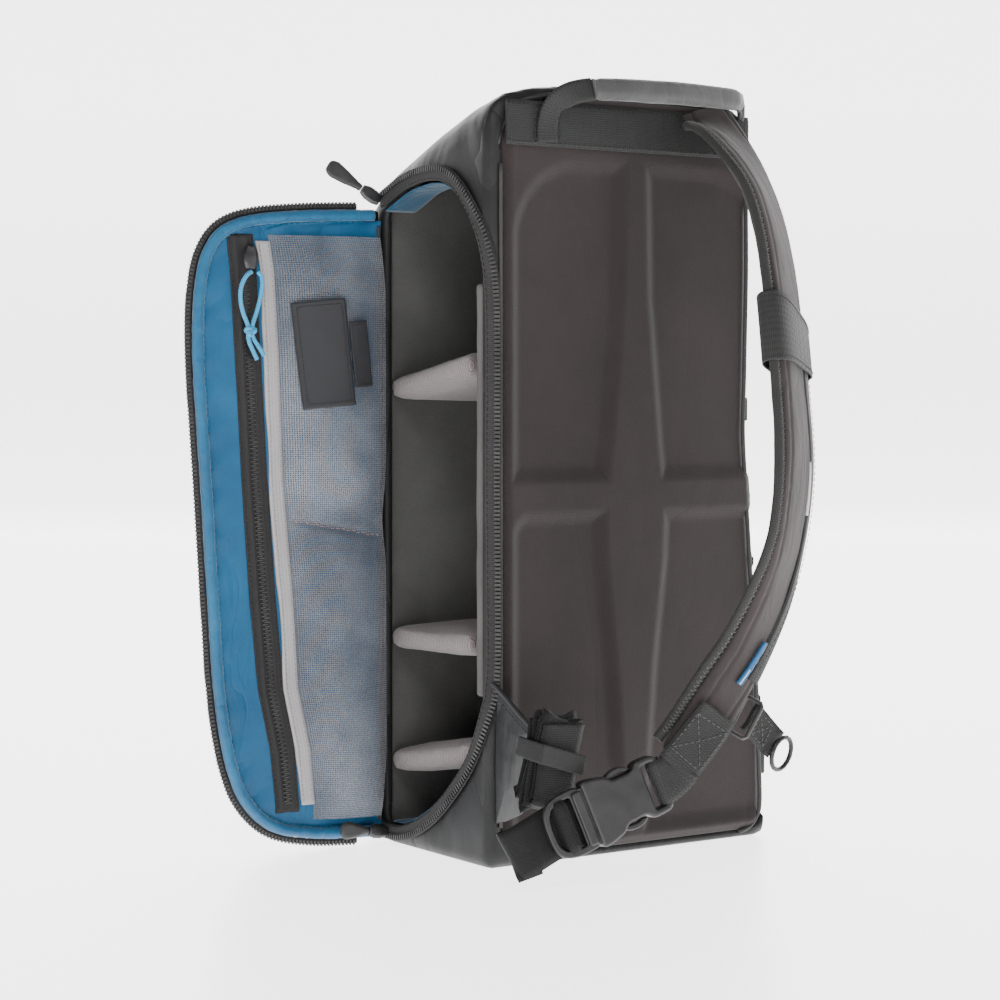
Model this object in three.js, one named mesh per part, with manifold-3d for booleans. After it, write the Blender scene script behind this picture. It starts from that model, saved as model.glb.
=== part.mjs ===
// A camera sling bag that stands upright with its side door swung open.
// Millimetres, +Z up. The origin is the middle of the flat base. The harness panel
// faces -Y, the open door is on -X and the plain front faces +Y.
import * as THREE from 'three';
import { mergeVertices } from 'three/addons/utils/BufferGeometryUtils.js';
import Module from 'manifold-3d';

const wasm = await Module();
wasm.setup();

// Body of the bag
const bodyWidth = 204;
const bodyDepth = 160;
const bodyHeight = 430;
const topDome = 13;
const rightWaist = 14;
const topCorner = 14;
const footCorner = 4;
const wallThickness = 6;
const panelThickness = 9;
const panelRelief = 4.5;
const panelRim = 9.4;
const panelFoot = 5;
const panelTopRim = 8;
const panelSideRim = 1.5;
const gap = 0.35;

// Door opening and its zip
const doorDepth = bodyDepth * 0.706;
const doorHeight = bodyHeight * 0.916;
const zipWidth = 9;
const zipThickness = 2.8;
const zipTuck = 5;
const facingWidth = 22;
const clothThickness = 1.6;
const rollDiameter = 9;

// Padded dividers
const dividerThickness = 15;
const dividerLength = 188;
const innerWallThickness = 5;

// Open door
const flapHeight = doorHeight * 0.944;
const flapReach = 119;
const flapFoot = 4;
const flapThickness = 11;
const flapBulge = 3;
const flapAngle = 7.5;
const flapHingeGap = 0.7;
const flapHingeStep = 2.4;
const rimDiameter = 7;
const coilWidth = 3.4;
const coilHeight = 2.8;
const meshBulge = 17;
const meshThickness = 1;
const meshHinge = 3;
const bindingWidth = 9.5;
const pocketZipWidth = 16;
const labelWidth = 29;
const labelHeight = 62;
const labelTabWidth = 11;
const labelTabHeight = 38;
const cordDiameter = 2.6;
const sliderLength = 13;
const sliderWidth = 9;
const sliderThickness = 3.2;

// Straps and webbing
const webbingWidth = 25;
const webbingThickness = 1.6;
const padWidth = 62;
const padThickness = 11;
const padReach = 98;
const bindingDiameter = 6;
const handleSpan = 135;
const handleStandOff = 13;
const handleGrip = 13;
const buckleWidth = 38;
const buckleThickness = 10;
const socketLength = 46;
const plugLength = 26;
const plugThickness = 4;
const ringDiameter = 22;
const ringWire = 3;
const tabWidth = 4.4;
const squareRingWire = 2.6;
const accessoryWebWidth = 17;
const wingReach = 39.2;
const wingHeight = 84;
const bundleLength = 52;
const bundleFolds = 3;
const bundlePitch = 3;
const tailLength = 22;
const hipWebWidth = 30;

// Pocket on the far side
const pocketHeight = 185;
const pocketDepth = 104;
const pocketProud = 16;
const pocketWall = 2;

const left = -bodyWidth / 2;
const right = bodyWidth / 2;
const back = -bodyDepth / 2;
const front = bodyDepth / 2;
const panelSeat = back + panelThickness;
const axisX = new THREE.Vector3(1, 0, 0);
const axisY = new THREE.Vector3(0, 1, 0);
const axisZ = new THREE.Vector3(0, 0, 1);

// Sections of the body from the back panel to the front: shares of depth, half width and height.
const bodySections = [
  { at: 0.006, side: 0.965, top: 0.982, foot: 0.010 },
  { at: 0.035, side: 1.000, top: 1.000, foot: 0.000 },
  { at: 0.200, side: 1.000, top: 0.986, foot: 0.000 },
  { at: 0.420, side: 1.000, top: 0.957, foot: 0.000 },
  { at: 0.700, side: 0.998, top: 0.916, foot: 0.000 },
  { at: 0.860, side: 0.975, top: 0.876, foot: 0.006 },
  { at: 0.950, side: 0.930, top: 0.836, foot: 0.020 },
  { at: 1.000, side: 0.850, top: 0.780, foot: 0.050 },
];

// How far the right side draws in, as a share of its waist, at shares of the height.
const waistRows = [
  { at: 0.00, draw: 0.00 },
  { at: 0.12, draw: 0.05 },
  { at: 0.25, draw: 0.25 },
  { at: 0.40, draw: 0.62 },
  { at: 0.56, draw: 1.00 },
  { at: 0.66, draw: 0.93 },
  { at: 0.80, draw: 0.85 },
  { at: 1.05, draw: 0.95 },
];

// The zip's line round the door opening, from the hinge over the top and down to the hinge again.
const doorRows = [
  { deep: 1.000, up: 0.966, tuck: 0.0 },
  { deep: 0.743, up: 0.992, tuck: 0.0 },
  { deep: 0.451, up: 0.998, tuck: 0.0 },
  { deep: 0.292, up: 0.981, tuck: 0.0 },
  { deep: 0.150, up: 0.941, tuck: 0.1 },
  { deep: 0.064, up: 0.895, tuck: 0.5 },
  { deep: 0.026, up: 0.822, tuck: 1.0 },
  { deep: 0.022, up: 0.545, tuck: 1.0 },
  { deep: 0.022, up: 0.266, tuck: 1.0 },
  { deep: 0.064, up: 0.212, tuck: 0.5 },
  { deep: 0.168, up: 0.150, tuck: 0.1 },
  { deep: 0.354, up: 0.094, tuck: 0.0 },
  { deep: 0.540, up: 0.054, tuck: 0.0 },
  { deep: 0.779, up: 0.024, tuck: 0.0 },
  { deep: 1.000, up: 0.020, tuck: 0.0 },
];

// Rows of the harness panel: the half gap between the sunk pads at shares of the height.
const crossRows = [
  { at: 0.00, half: 0.047 },
  { at: 0.10, half: 0.053 },
  { at: 0.25, half: 0.078 },
  { at: 0.40, half: 0.115 },
  { at: 0.48, half: 0.120 },
  { at: 0.55, half: 0.098 },
  { at: 0.75, half: 0.058 },
  { at: 1.00, half: 0.047 },
];

// The sunk pads of the harness panel: shares of the height, and the corner at the top outside.
const padRows = [
  { low: 0.514, high: 0.921, topRound: 0.21 },
  { low: 0.034, high: 0.458, topRound: 0.05 },
];

// Dividers: height of the far and near edges as shares of the body's height.
const dividerRows = [
  { name: 'divider_upper', far: 0.628, near: 0.662 },
  { name: 'divider_middle', far: 0.284, near: 0.291 },
  { name: 'divider_lower', far: 0.112, near: 0.146 },
];

// Outline of the open door: how far it reaches out at shares of its height.
const flapRows = [
  { up: 1.000, reach: 0.03 },
  { up: 0.994, reach: 0.45 },
  { up: 0.982, reach: 0.74 },
  { up: 0.962, reach: 0.87 },
  { up: 0.925, reach: 0.95 },
  { up: 0.865, reach: 0.99 },
  { up: 0.780, reach: 1.00 },
  { up: 0.580, reach: 0.965 },
  { up: 0.390, reach: 0.930 },
  { up: 0.230, reach: 0.895 },
  { up: 0.130, reach: 0.840 },
  { up: 0.070, reach: 0.765 },
  { up: 0.025, reach: 0.620 },
  { up: 0.006, reach: 0.400 },
  { up: 0.000, reach: 0.03 },
];

// The door pocket's zip band and the mesh binding: their far edges as shares of the reach.
const stripRows = [
  { up: 0.965, strip: 0.822, binding: 0.685 },
  { up: 0.900, strip: 0.802, binding: 0.655 },
  { up: 0.760, strip: 0.779, binding: 0.630 },
  { up: 0.575, strip: 0.748, binding: 0.612 },
  { up: 0.390, strip: 0.708, binding: 0.562 },
  { up: 0.245, strip: 0.667, binding: 0.535 },
  { up: 0.150, strip: 0.606, binding: 0.474 },
  { up: 0.060, strip: 0.575, binding: 0.450 },
];

// Centre line of the shoulder strap, from the top edge to its lower end, with its section.
// x follows the body's width, out the reach, up the height; the rest are shares of the pad.
const strapRows = [
  { x: 0.220, out: 0.052, up: 1.008, wide: 0.60, thick: 0.30, ax: 1.00, ay: 0.00, az: 0.00 },
  { x: 0.227, out: 0.068, up: 0.998, wide: 0.62, thick: 0.36, ax: 1.00, ay: 0.00, az: 0.00 },
  { x: 0.240, out: 0.112, up: 0.985, wide: 0.66, thick: 0.45, ax: 0.99, ay: 0.01, az: -0.10 },
  { x: 0.250, out: 0.270, up: 0.950, wide: 0.82, thick: 0.75, ax: 0.94, ay: 0.27, az: -0.20 },
  { x: 0.250, out: 0.510, up: 0.880, wide: 0.98, thick: 0.95, ax: 0.84, ay: 0.46, az: -0.30 },
  { x: 0.240, out: 0.660, up: 0.810, wide: 1.00, thick: 1.00, ax: 0.80, ay: 0.52, az: -0.30 },
  { x: 0.220, out: 0.770, up: 0.745, wide: 1.00, thick: 1.00, ax: 0.78, ay: 0.55, az: -0.30 },
  { x: 0.205, out: 0.860, up: 0.680, wide: 1.00, thick: 1.00, ax: 0.78, ay: 0.57, az: -0.24 },
  { x: 0.195, out: 0.920, up: 0.615, wide: 1.00, thick: 1.00, ax: 0.80, ay: 0.58, az: -0.18 },
  { x: 0.180, out: 0.970, up: 0.550, wide: 1.00, thick: 1.00, ax: 0.80, ay: 0.58, az: -0.18 },
  { x: 0.160, out: 1.000, up: 0.485, wide: 1.00, thick: 1.00, ax: 0.80, ay: 0.58, az: -0.18 },
  { x: 0.130, out: 1.000, up: 0.420, wide: 0.94, thick: 1.00, ax: 0.80, ay: 0.57, az: -0.20 },
  { x: 0.090, out: 0.975, up: 0.358, wide: 0.76, thick: 1.00, ax: 0.80, ay: 0.45, az: -0.32 },
  { x: 0.034, out: 0.921, up: 0.293, wide: 0.60, thick: 1.00, ax: 0.74, ay: 0.30, az: -0.55 },
  { x: -0.040, out: 0.868, up: 0.231, wide: 0.50, thick: 0.90, ax: 0.54, ay: 0.04, az: -0.82 },
  { x: -0.098, out: 0.835, up: 0.186, wide: 0.46, thick: 0.75, ax: 0.38, ay: -0.16, az: -0.91 },
  { x: -0.160, out: 0.805, up: 0.150, wide: 0.44, thick: 0.55, ax: 0.30, ay: -0.21, az: -0.93 },
];

// Handle's centre line along its span: shares of the span, the stand-off and the top band's width.
const handleRows = [
  { along: -0.52, out: 0.00, up: 0.05 },
  { along: -0.52, out: 0.02, up: 0.45 },
  { along: -0.50, out: 0.22, up: 0.90 },
  { along: -0.40, out: 0.72, up: 1.20 },
  { along: -0.22, out: 0.98, up: 1.27 },
  { along: 0.05, out: 1.05, up: 1.29 },
  { along: 0.30, out: 0.98, up: 1.29 },
  { along: 0.42, out: 0.74, up: 1.28 },
  { along: 0.475, out: 0.36, up: 1.24 },
  { along: 0.50, out: 0.06, up: 1.14 },
  { along: 0.535, out: -0.05, up: 1.06 },
];
const gripShares = { from: 0.31, to: 0.79 };
const handleBase = 0.975;
const handleShift = 0.03;

// The value of a column between the rows of a table, eased from row to row.
function valueAt(rows, column, at, key = 'at') {
  const rising = rows[0][key] < rows[rows.length - 1][key] ? rows : [...rows].reverse();
  const next = rising.findIndex((row) => row[key] >= at);
  if (next === 0) {
    return rising[0][column];
  }
  if (next < 0) {
    return rising[rising.length - 1][column];
  }
  const low = rising[next - 1];
  const high = rising[next];
  const share = (at - low[key]) / (high[key] - low[key]);
  return THREE.MathUtils.lerp(low[column], high[column], share);
}

// A flat section with rounded edges: the upper run from left to right, then the lower run back.
function flatSection(width, thickness, roundness = 0.45, arcSteps = 1) {
  const half = width / 2;
  const lift = thickness / 2;
  const radius = Math.min(half, lift) * 2 * roundness * 0.98;
  const upper = [];
  for (let i = 0; i <= arcSteps; i += 1) {
    const turn = (i / arcSteps) * (Math.PI / 2);
    upper.push([-half + radius * (1 - Math.cos(turn)), lift - radius * (1 - Math.sin(turn))]);
  }
  upper.push(...upper.map(([x, y]) => [-x, y]).reverse());
  return [...upper, ...upper.map(([x, y]) => [x, -y]).reverse()];
}

// The plain rectangle of a woven ribbon.
function ribbonSection(width, thickness) {
  const half = width / 2;
  const lift = thickness / 2;
  return [[-half, lift], [half, lift], [half, -lift], [-half, -lift]];
}

// A round section whose first half runs over the top.
function roundSection(width, height, sides = 8) {
  return Array.from({ length: sides }, (_, k) => {
    const turn = Math.PI - ((k + 0.5) / sides) * 2 * Math.PI;
    return [(width / 2) * Math.cos(turn), (height / 2) * Math.sin(turn)];
  });
}

// A closed body through rings of equally many points. An open run gets flat ends,
// and a loop joins its last ring to its first.
function loft(rings, loop = false) {
  const count = rings[0].length;
  const positions = rings.flat().flatMap((p) => [p.x, p.y, p.z]);
  const index = [];
  const spans = loop ? rings.length : rings.length - 1;
  for (let r = 0; r < spans; r += 1) {
    const here = r * count;
    const next = ((r + 1) % rings.length) * count;
    for (let k = 0; k < count; k += 1) {
      const turn = (k + 1) % count;
      index.push(here + k, here + turn, next + turn, here + k, next + turn, next + k);
    }
  }
  if (!loop) {
    addEnd(index, 0, count, false);
    addEnd(index, (rings.length - 1) * count, count, true);
  }
  return bodyFrom(positions, index);
}

// Closes a ring with rungs from its first half to its second half.
function addEnd(index, start, count, last) {
  for (let k = 0; k < count / 2 - 1; k += 1) {
    const a = start + k;
    const b = start + k + 1;
    const c = start + count - 2 - k;
    const d = start + count - 1 - k;
    index.push(...(last ? [a, b, c, a, c, d] : [a, c, b, a, d, c]));
  }
}

function bodyFrom(positions, index) {
  let volume = 0;
  const corner = (k) => new THREE.Vector3().fromArray(positions, index[k] * 3);
  for (let k = 0; k < index.length; k += 3) {
    volume += corner(k).dot(corner(k + 1).cross(corner(k + 2)));
  }
  const geometry = new THREE.BufferGeometry();
  geometry.setAttribute('position', new THREE.Float32BufferAttribute(positions, 3));
  geometry.setIndex(volume < 0 ? [...index].reverse() : index);
  return geometry;
}

// Rings of a section carried along points, its width along each point's across direction.
function sweep(stations, sectionAt, loop = false) {
  const last = stations.length - 1;
  const rings = stations.map((station, k) => {
    const before = stations[loop ? (k + last) % (last + 1) : Math.max(k - 1, 0)].point;
    const after = stations[loop ? (k + 1) % (last + 1) : Math.min(k + 1, last)].point;
    const along = after.clone().sub(before).normalize();
    const facing = station.facing ?? along.clone().cross(station.across).normalize();
    const across = station.facing ? station.across : facing.clone().cross(along).normalize();
    return sectionAt(k / last, station).map(([u, v]) => station.point.clone()
      .addScaledVector(across, u)
      .addScaledVector(facing, v));
  });
  return loft(rings, loop);
}

// Even stations along a smooth curve through rows, with the across direction between them.
function stationsAlong(rows, steps, from = 0, to = 1) {
  const line = new THREE.CatmullRomCurve3(rows.map((row) => row.point), false, 'centripetal');
  const across = new THREE.CatmullRomCurve3(rows.map((row) => row.across), false, 'catmullrom');
  return Array.from({ length: steps + 1 }, (_, k) => {
    const at = from + (to - from) * (k / steps);
    return { at, point: line.getPoint(at), across: across.getPoint(at).normalize() };
  });
}

// A thin sheet between a grid of points and the same grid moved by its thickness.
function sheet(grid, offset) {
  return loft(grid.map((row) => [
    ...row,
    ...row.map((point) => point.clone().add(offset(point))).reverse(),
  ]));
}

function toManifold(geometry) {
  const plain = new THREE.BufferGeometry();
  plain.setAttribute('position', geometry.getAttribute('position').clone());
  plain.setIndex(geometry.getIndex() ? geometry.getIndex().clone() : null);
  const merged = mergeVertices(plain, 1e-4);
  return new wasm.Manifold(new wasm.Mesh({
    numProp: 3,
    vertProperties: new Float32Array(merged.getAttribute('position').array),
    triVerts: new Uint32Array(merged.getIndex().array),
  }));
}

function fromManifold(solid) {
  const mesh = solid.getMesh();
  const geometry = new THREE.BufferGeometry();
  geometry.setAttribute('position', new THREE.BufferAttribute(mesh.vertProperties, 3));
  geometry.setIndex(new THREE.BufferAttribute(mesh.triVerts, 1));
  return geometry;
}

function cut(geometry, ...tools) {
  const trimmed = tools.reduce((solid, tool) => solid.subtract(toManifold(tool)), toManifold(geometry));
  return fromManifold(trimmed);
}

function meet(geometry, other) {
  return fromManifold(toManifold(geometry).intersect(toManifold(other)));
}

function piece(name, geometry, colour, roughness = 0.8, metalness = 0) {
  const material = new THREE.MeshStandardMaterial({ color: colour, roughness, metalness });
  const mesh = new THREE.Mesh(geometry, material);
  mesh.name = name;
  return mesh;
}

// Body outline

function waisted(x, z, inset = 0) {
  const draw = valueAt(waistRows, 'draw', z / bodyHeight) * rightWaist;
  return x > 0 ? x * (1 - draw / (right - inset)) : x;
}

function domed(x, z, half, crown) {
  const edge = Math.min(Math.abs(x) / half, 1);
  return z + topDome * (1 - edge ** 4) * THREE.MathUtils.clamp(crown, 0, 1);
}

// An upright outline: the right side from foot to top, then the left side down.
function uprightOutline(half, low, high, cornerTop, cornerFoot, inset = 0) {
  const sideSteps = 7;
  const arcSteps = 3;
  const topShares = [0.78, 0.5, 0.2];
  const run = [];
  for (let i = 0; i <= arcSteps; i += 1) {
    const turn = (i / arcSteps) * (Math.PI / 2);
    run.push([half - cornerFoot * (1 - Math.sin(turn)), low + cornerFoot * (1 - Math.cos(turn))]);
  }
  for (let i = 1; i < sideSteps; i += 1) {
    run.push([half, THREE.MathUtils.lerp(low + cornerFoot, high - cornerTop, i / sideSteps)]);
  }
  for (let i = 0; i <= arcSteps; i += 1) {
    const turn = (i / arcSteps) * (Math.PI / 2);
    run.push([half - cornerTop * (1 - Math.cos(turn)), high - cornerTop * (1 - Math.sin(turn))]);
  }
  topShares.forEach((share) => run.push([(half - cornerTop) * share, high]));
  const mirrored = run.map(([x, z]) => [-x, z]).reverse();
  return [...run, ...mirrored].map(([x, z]) => {
    const crown = (z - (high - cornerTop)) / cornerTop;
    return [waisted(x, z, inset), domed(x, z, half, crown)];
  });
}

function bodyRing(row, y, inset) {
  const half = right * row.side - inset;
  const low = bodyHeight * row.foot + inset;
  const high = bodyHeight * row.top - inset;
  const outline = uprightOutline(half, low, high, topCorner, footCorner, inset);
  return outline.map(([x, z]) => new THREE.Vector3(x, y, z));
}

function bodyForm(inset, yFrom, yTo) {
  return loft(bodySections.map((row) => bodyRing(row, THREE.MathUtils.lerp(yFrom, yTo, row.at), inset)));
}

// Door opening

function doorStations(inset, steps = 34) {
  const rows = doorRows.map((row) => ({
    point: new THREE.Vector3(row.tuck, back + row.deep * doorDepth, row.up * doorHeight),
    across: axisX,
  }));
  const flat = stationsAlong(rows, steps).map((station) => station.point);
  return flat.map((point, k) => {
    const before = flat[Math.max(k - 1, 0)];
    const after = flat[Math.min(k + 1, flat.length - 1)];
    const along = new THREE.Vector3(0, after.y - before.y, after.z - before.z).normalize();
    const inward = new THREE.Vector3(0, -along.z, along.y);
    const tuck = THREE.MathUtils.clamp(point.x, 0, 1);
    const spot = new THREE.Vector3(0, point.y, point.z).addScaledVector(inward, inset);
    return { point: spot, inward, tuck };
  });
}

function zipSweep(width, thickness) {
  const stations = doorStations(0).map(({ point, inward, tuck }) => {
    const lean = tuck * (Math.PI / 4);
    const across = inward.clone().multiplyScalar(Math.cos(lean)).addScaledVector(axisX, -Math.sin(lean));
    const x = left - gap - zipThickness / 2 + tuck * zipTuck;
    return { point: point.clone().setX(x), across };
  });
  return sweep(stations, () => flatSection(width, thickness));
}

function doorCut() {
  const inset = zipWidth / 2 + gap;
  const points = doorStations(inset).map(({ point }) => {
    const nearLimit = back + panelRim + gap;
    return new THREE.Vector2(Math.max(point.y, nearLimit), point.z);
  });
  const reach = wallThickness * 2;
  const tool = new THREE.ExtrudeGeometry(new THREE.Shape(points), { depth: reach * 2, bevelEnabled: false });
  tool.applyMatrix4(new THREE.Matrix4().makeBasis(axisY, axisZ, axisX));
  return tool.translate(left - reach, 0, 0);
}

function openingZip() {
  return piece('opening_zip', zipSweep(zipWidth, zipThickness), 0x2b2929);
}

// A cloth facing that lines the cut edge over the top or round the foot of the opening.
function rimFacing(name, from, to) {
  const inset = zipWidth / 2 + gap * 2 + clothThickness / 2;
  const stations = doorStations(inset).filter((_, k, all) => k / (all.length - 1) >= from
    && k / (all.length - 1) <= to);
  const swept = stations.map(({ point }) => ({
    point: point.clone().setX(left + facingWidth / 2 - gap),
    across: axisX,
  }));
  return piece(name, sweep(swept, () => ribbonSection(facingWidth, clothThickness)), 0x3ca0cd, 0.6);
}

function nearRoll() {
  const x = left + rollDiameter / 2 + 1;
  const y = back + panelRim + rollDiameter / 2 + gap * 2;
  const rows = [0.765, 0.64, 0.48, 0.33, 0.225].map((up) => ({
    point: new THREE.Vector3(x, y, up * bodyHeight),
    across: axisX,
  }));
  return piece('lining_roll', sweep(stationsAlong(rows, 8), () => roundSection(rollDiameter, rollDiameter)), 0x787670);
}

// Shell and harness panel

function panelOutline(grow) {
  const shift = (panelRim - panelSideRim) / 2;
  const half = right - panelSideRim - shift + grow;
  const low = panelFoot - grow;
  const high = bodyHeight - panelTopRim + grow;
  return uprightOutline(half, low, high, topCorner, 16, shift).map(([x, z]) => [x + shift, z]);
}

function panelPlate(grow, yFrom, yTo) {
  const rings = [yFrom, yTo].map((y) => panelOutline(grow).map(([x, z]) => new THREE.Vector3(x, y, z)));
  return loft(rings);
}

function shellBody() {
  const outer = bodyForm(0, back, front);
  const cavity = bodyForm(wallThickness, panelSeat + wallThickness, front - wallThickness);
  const seat = panelPlate(gap, back - panelThickness, panelSeat);
  const zipBed = zipSweep(zipWidth + gap * 2, zipThickness + gap * 2);
  return piece('shell_body', cut(outer, cavity, seat, doorCut(), zipBed), 0x4b4b4c, 0.55);
}

function stepUp(distance, soft) {
  return THREE.MathUtils.smoothstep(distance, -soft, soft);
}

// How far the panel's face sinks at a point: four pads sunk behind a border and a cross.
function panelSink(x, z) {
  const soft = 5;
  const cross = valueAt(crossRows, 'half', z / bodyHeight) * bodyWidth;
  const side = x < 0 ? left + panelRim + 9 : right;
  const width = Math.abs(side) - cross;
  const out = Math.abs(x) - cross;
  let deepest = 0;
  padRows.forEach((row) => {
    const low = row.low * bodyHeight;
    const high = row.high * bodyHeight;
    const round = row.topRound * bodyWidth;
    const edges = [out, width - out, z - low, high - z];
    const fromCorner = Math.hypot(Math.max(out - (width - round), 0), Math.max(z - (high - round), 0));
    const corner = out > width - round && z > high - round ? round - fromCorner : Infinity;
    deepest = Math.max(deepest, stepUp(Math.min(...edges, corner), soft));
  });
  return deepest * panelRelief;
}

// The panel's plate with its front face pressed in, cut to the panel's outline.
function harnessPanel() {
  const columns = [0, 0.02, 0.05, 0.08, 0.11, 0.2, 0.3, 0.38, 0.41, 0.44, 0.47, 0.5,
    0.53, 0.56, 0.59, 0.62, 0.7, 0.8, 0.9, 0.97, 1];
  const rowShares = [0, 0.008, 0.02, 0.035, 0.06, 0.14, 0.22, 0.3, 0.38, 0.425, 0.442, 0.458,
    0.475, 0.495, 0.512, 0.53, 0.6, 0.68, 0.76, 0.8, 0.835, 0.862, 0.885, 0.9, 0.92, 0.96, 1];
  const over = 4;
  const low = panelFoot - over;
  const high = bodyHeight - panelTopRim + topDome + over;
  const grid = rowShares.map((share) => {
    const z = THREE.MathUtils.lerp(low, high, share);
    return columns.map((column) => {
      const x = THREE.MathUtils.lerp(left + panelRim - over, right + over, column);
      const edge = Math.min(x - left - panelRim, waisted(right, z) - panelSideRim - x, z - panelFoot);
      const round = panelRelief * (1 - THREE.MathUtils.smoothstep(edge, -1, 5));
      return new THREE.Vector3(x, back + panelSink(x, z) + round, z);
    });
  });
  const pressed = sheet(grid, () => new THREE.Vector3(0, panelThickness * 3, 0));
  const plate = panelPlate(-gap, back - panelThickness, panelSeat - gap);
  return piece('back_panel', meet(plate, pressed), 0x4a4241, 0.9);
}

function topBand() {
  const z = bodyHeight * 0.973;
  const y = back - gap - webbingThickness / 2;
  const rows = [-0.453, -0.2, 0.1, 0.40].map((share) => ({
    point: new THREE.Vector3(share * bodyWidth, y, z),
    across: axisZ,
  }));
  return piece('top_band', sweep(stationsAlong(rows, 6), () => ribbonSection(webbingWidth, webbingThickness)), 0x3e413e);
}

// Grab handle

function handleStations(from, to, steps) {
  const standOff = back - gap * 2 - webbingThickness;
  const rows = handleRows.map((row) => {
    const upright = row.along < -0.485;
    return {
      point: new THREE.Vector3(
        (row.along + handleShift) * handleSpan,
        standOff - webbingThickness - row.out * handleStandOff,
        bodyHeight * handleBase + (row.up - 0.5) * webbingWidth,
      ),
      across: upright ? axisX : new THREE.Vector3(0, -0.25, -0.97),
    };
  });
  return stationsAlong(rows, steps, from, to);
}

function handle() {
  const web = () => ribbonSection(handleGrip * 0.9, webbingThickness * 2);
  const grip = (share) => {
    const swell = 0.78 + 0.22 * Math.sin(Math.PI * share) ** 0.4;
    return roundSection(handleGrip * swell, handleGrip * 0.8 * swell, 10);
  };
  const seam = 0.009;
  return [
    piece('handle_web_left', sweep(handleStations(0, gripShares.from - seam, 8), web), 0x3e413e),
    piece('handle_sleeve', sweep(handleStations(gripShares.from, gripShares.to, 12), grip), 0x5a5858, 0.5),
    piece('handle_web_right', sweep(handleStations(gripShares.to + seam * 3.5, 1, 8), web), 0x3e413e),
  ];
}

// Compartment

function dividers() {
  const cavityBack = panelSeat + wallThickness * 2 + rollDiameter * 0.9;
  const cavityFront = doorFront() - innerWallThickness / 2 - gap;
  return dividerRows.map((row) => {
    const mid = new THREE.Vector3(left + 6, (cavityBack + cavityFront) / 2, ((row.far + row.near) / 2) * bodyHeight);
    const fall = (row.near - row.far) * bodyHeight;
    const across = new THREE.Vector3(0, cavityFront - cavityBack, -fall);
    const width = across.length();
    const stations = [0, 0.03, 0.08, 0.5, 1].map((share) => ({
      point: mid.clone().addScaledVector(axisX, share * dividerLength),
      across: across.clone().normalize(),
    }));
    const section = (_, station) => {
      const depthIn = station.point.x - mid.x;
      const blunt = Math.min(0.62 + depthIn / (dividerThickness * 1.2), 1);
      return flatSection(width, dividerThickness * blunt, 0.45, 3);
    };
    const room = bodyForm(wallThickness + gap, panelSeat + wallThickness + gap, front - wallThickness);
    return piece(row.name, meet(sweep(stations, section), room), 0x968a8a, 0.95);
  });
}

function doorFront() {
  return back + doorDepth + innerWallThickness / 2 + 3;
}

// The lining wall that parts the compartment from the front of the bag.
function innerWall() {
  const y = doorFront();
  const slab = new THREE.BoxGeometry(bodyWidth, innerWallThickness, bodyHeight * 2);
  const room = bodyForm(wallThickness + gap, panelSeat + wallThickness, front - wallThickness);
  return piece('inner_wall', meet(slab.translate(0, y, 0), room), 0x1e1e20, 0.95);
}

// Open door: u runs out from the hinge, n towards the harness side, z up

const lean = THREE.MathUtils.degToRad(flapAngle);
const doorOut = new THREE.Vector3(-Math.cos(lean), Math.sin(lean), 0);
const doorIn = new THREE.Vector3(-Math.sin(lean), -Math.cos(lean), 0);
const hinge = new THREE.Vector3(left - flapHingeGap, back + doorDepth + flapHingeStep, flapFoot);

function onDoor(u, n, z) {
  return hinge.clone().addScaledVector(doorOut, u).addScaledVector(doorIn, n).addScaledVector(axisZ, z);
}

function flapEdge(inset, steps = 24) {
  const rows = flapRows.map((row) => ({
    point: new THREE.Vector3(row.reach * flapReach, 0, row.up * flapHeight),
    across: axisY,
  }));
  const line = stationsAlong(rows, steps).map((station) => station.point);
  return line.map((point, k) => {
    const before = line[Math.max(k - 1, 0)];
    const after = line[Math.min(k + 1, line.length - 1)];
    const along = after.clone().sub(before).normalize();
    const outward = new THREE.Vector3(-along.z, 0, along.x);
    const moved = point.clone().addScaledVector(outward, -inset);
    const low = Math.max(inset, 0);
    return {
      u: Math.max(moved.x, 1.5),
      z: THREE.MathUtils.clamp(moved.z, low * 0.9, flapHeight - low * 0.9),
      outward,
    };
  });
}

// One closed slab of the door's outline, from rows of inset and depth.
function flapSlab(rows, hingeInset = 0) {
  return loft(rows.map(({ inset, n }) => {
    const edge = flapEdge(inset);
    return [
      ...edge.map(({ u, z }) => onDoor(u, n, z)),
      ...edge.map(({ z }) => onDoor(hingeInset, n, z)).reverse(),
    ];
  }));
}

function flapShell() {
  const rows = [
    { inset: 0.6, n: 0 },
    { inset: 0, n: -1.5 },
    { inset: -flapBulge * 0.6, n: -flapThickness * 0.4 },
    { inset: -flapBulge * 0.4, n: -flapThickness * 0.75 },
    { inset: flapThickness * 0.5, n: -flapThickness },
  ];
  return piece('flap_shell', flapSlab(rows), 0x3c3a3a, 0.6);
}

function flapLining() {
  const rows = [{ inset: rimDiameter + gap, n: gap }, { inset: rimDiameter + gap, n: gap + clothThickness }];
  return piece('flap_lining', flapSlab(rows, 0.5), 0x266e9f, 0.6);
}

function alongFlapEdge(inset, n, width, height, sides, spare) {
  const stations = flapEdge(inset, 34).slice(spare, -spare).map(({ u, z, outward }) => ({
    point: onDoor(u, n, z),
    across: doorOut.clone().multiplyScalar(outward.x).addScaledVector(axisZ, outward.z),
  }));
  return sweep(stations, () => roundSection(width, height, sides));
}

function flapRim() {
  const lift = gap + rimDiameter / 2;
  return piece('flap_rim', alongFlapEdge(rimDiameter / 2, lift, rimDiameter, rimDiameter, 8, 1), 0x1c6482, 0.6);
}

function flapZip() {
  const lift = gap + coilHeight / 2;
  const inset = -coilWidth / 2 - gap * 0.4;
  return piece('flap_zip', alongFlapEdge(inset, lift, coilWidth, coilHeight, 6, 3), 0x2b2929);
}

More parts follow.
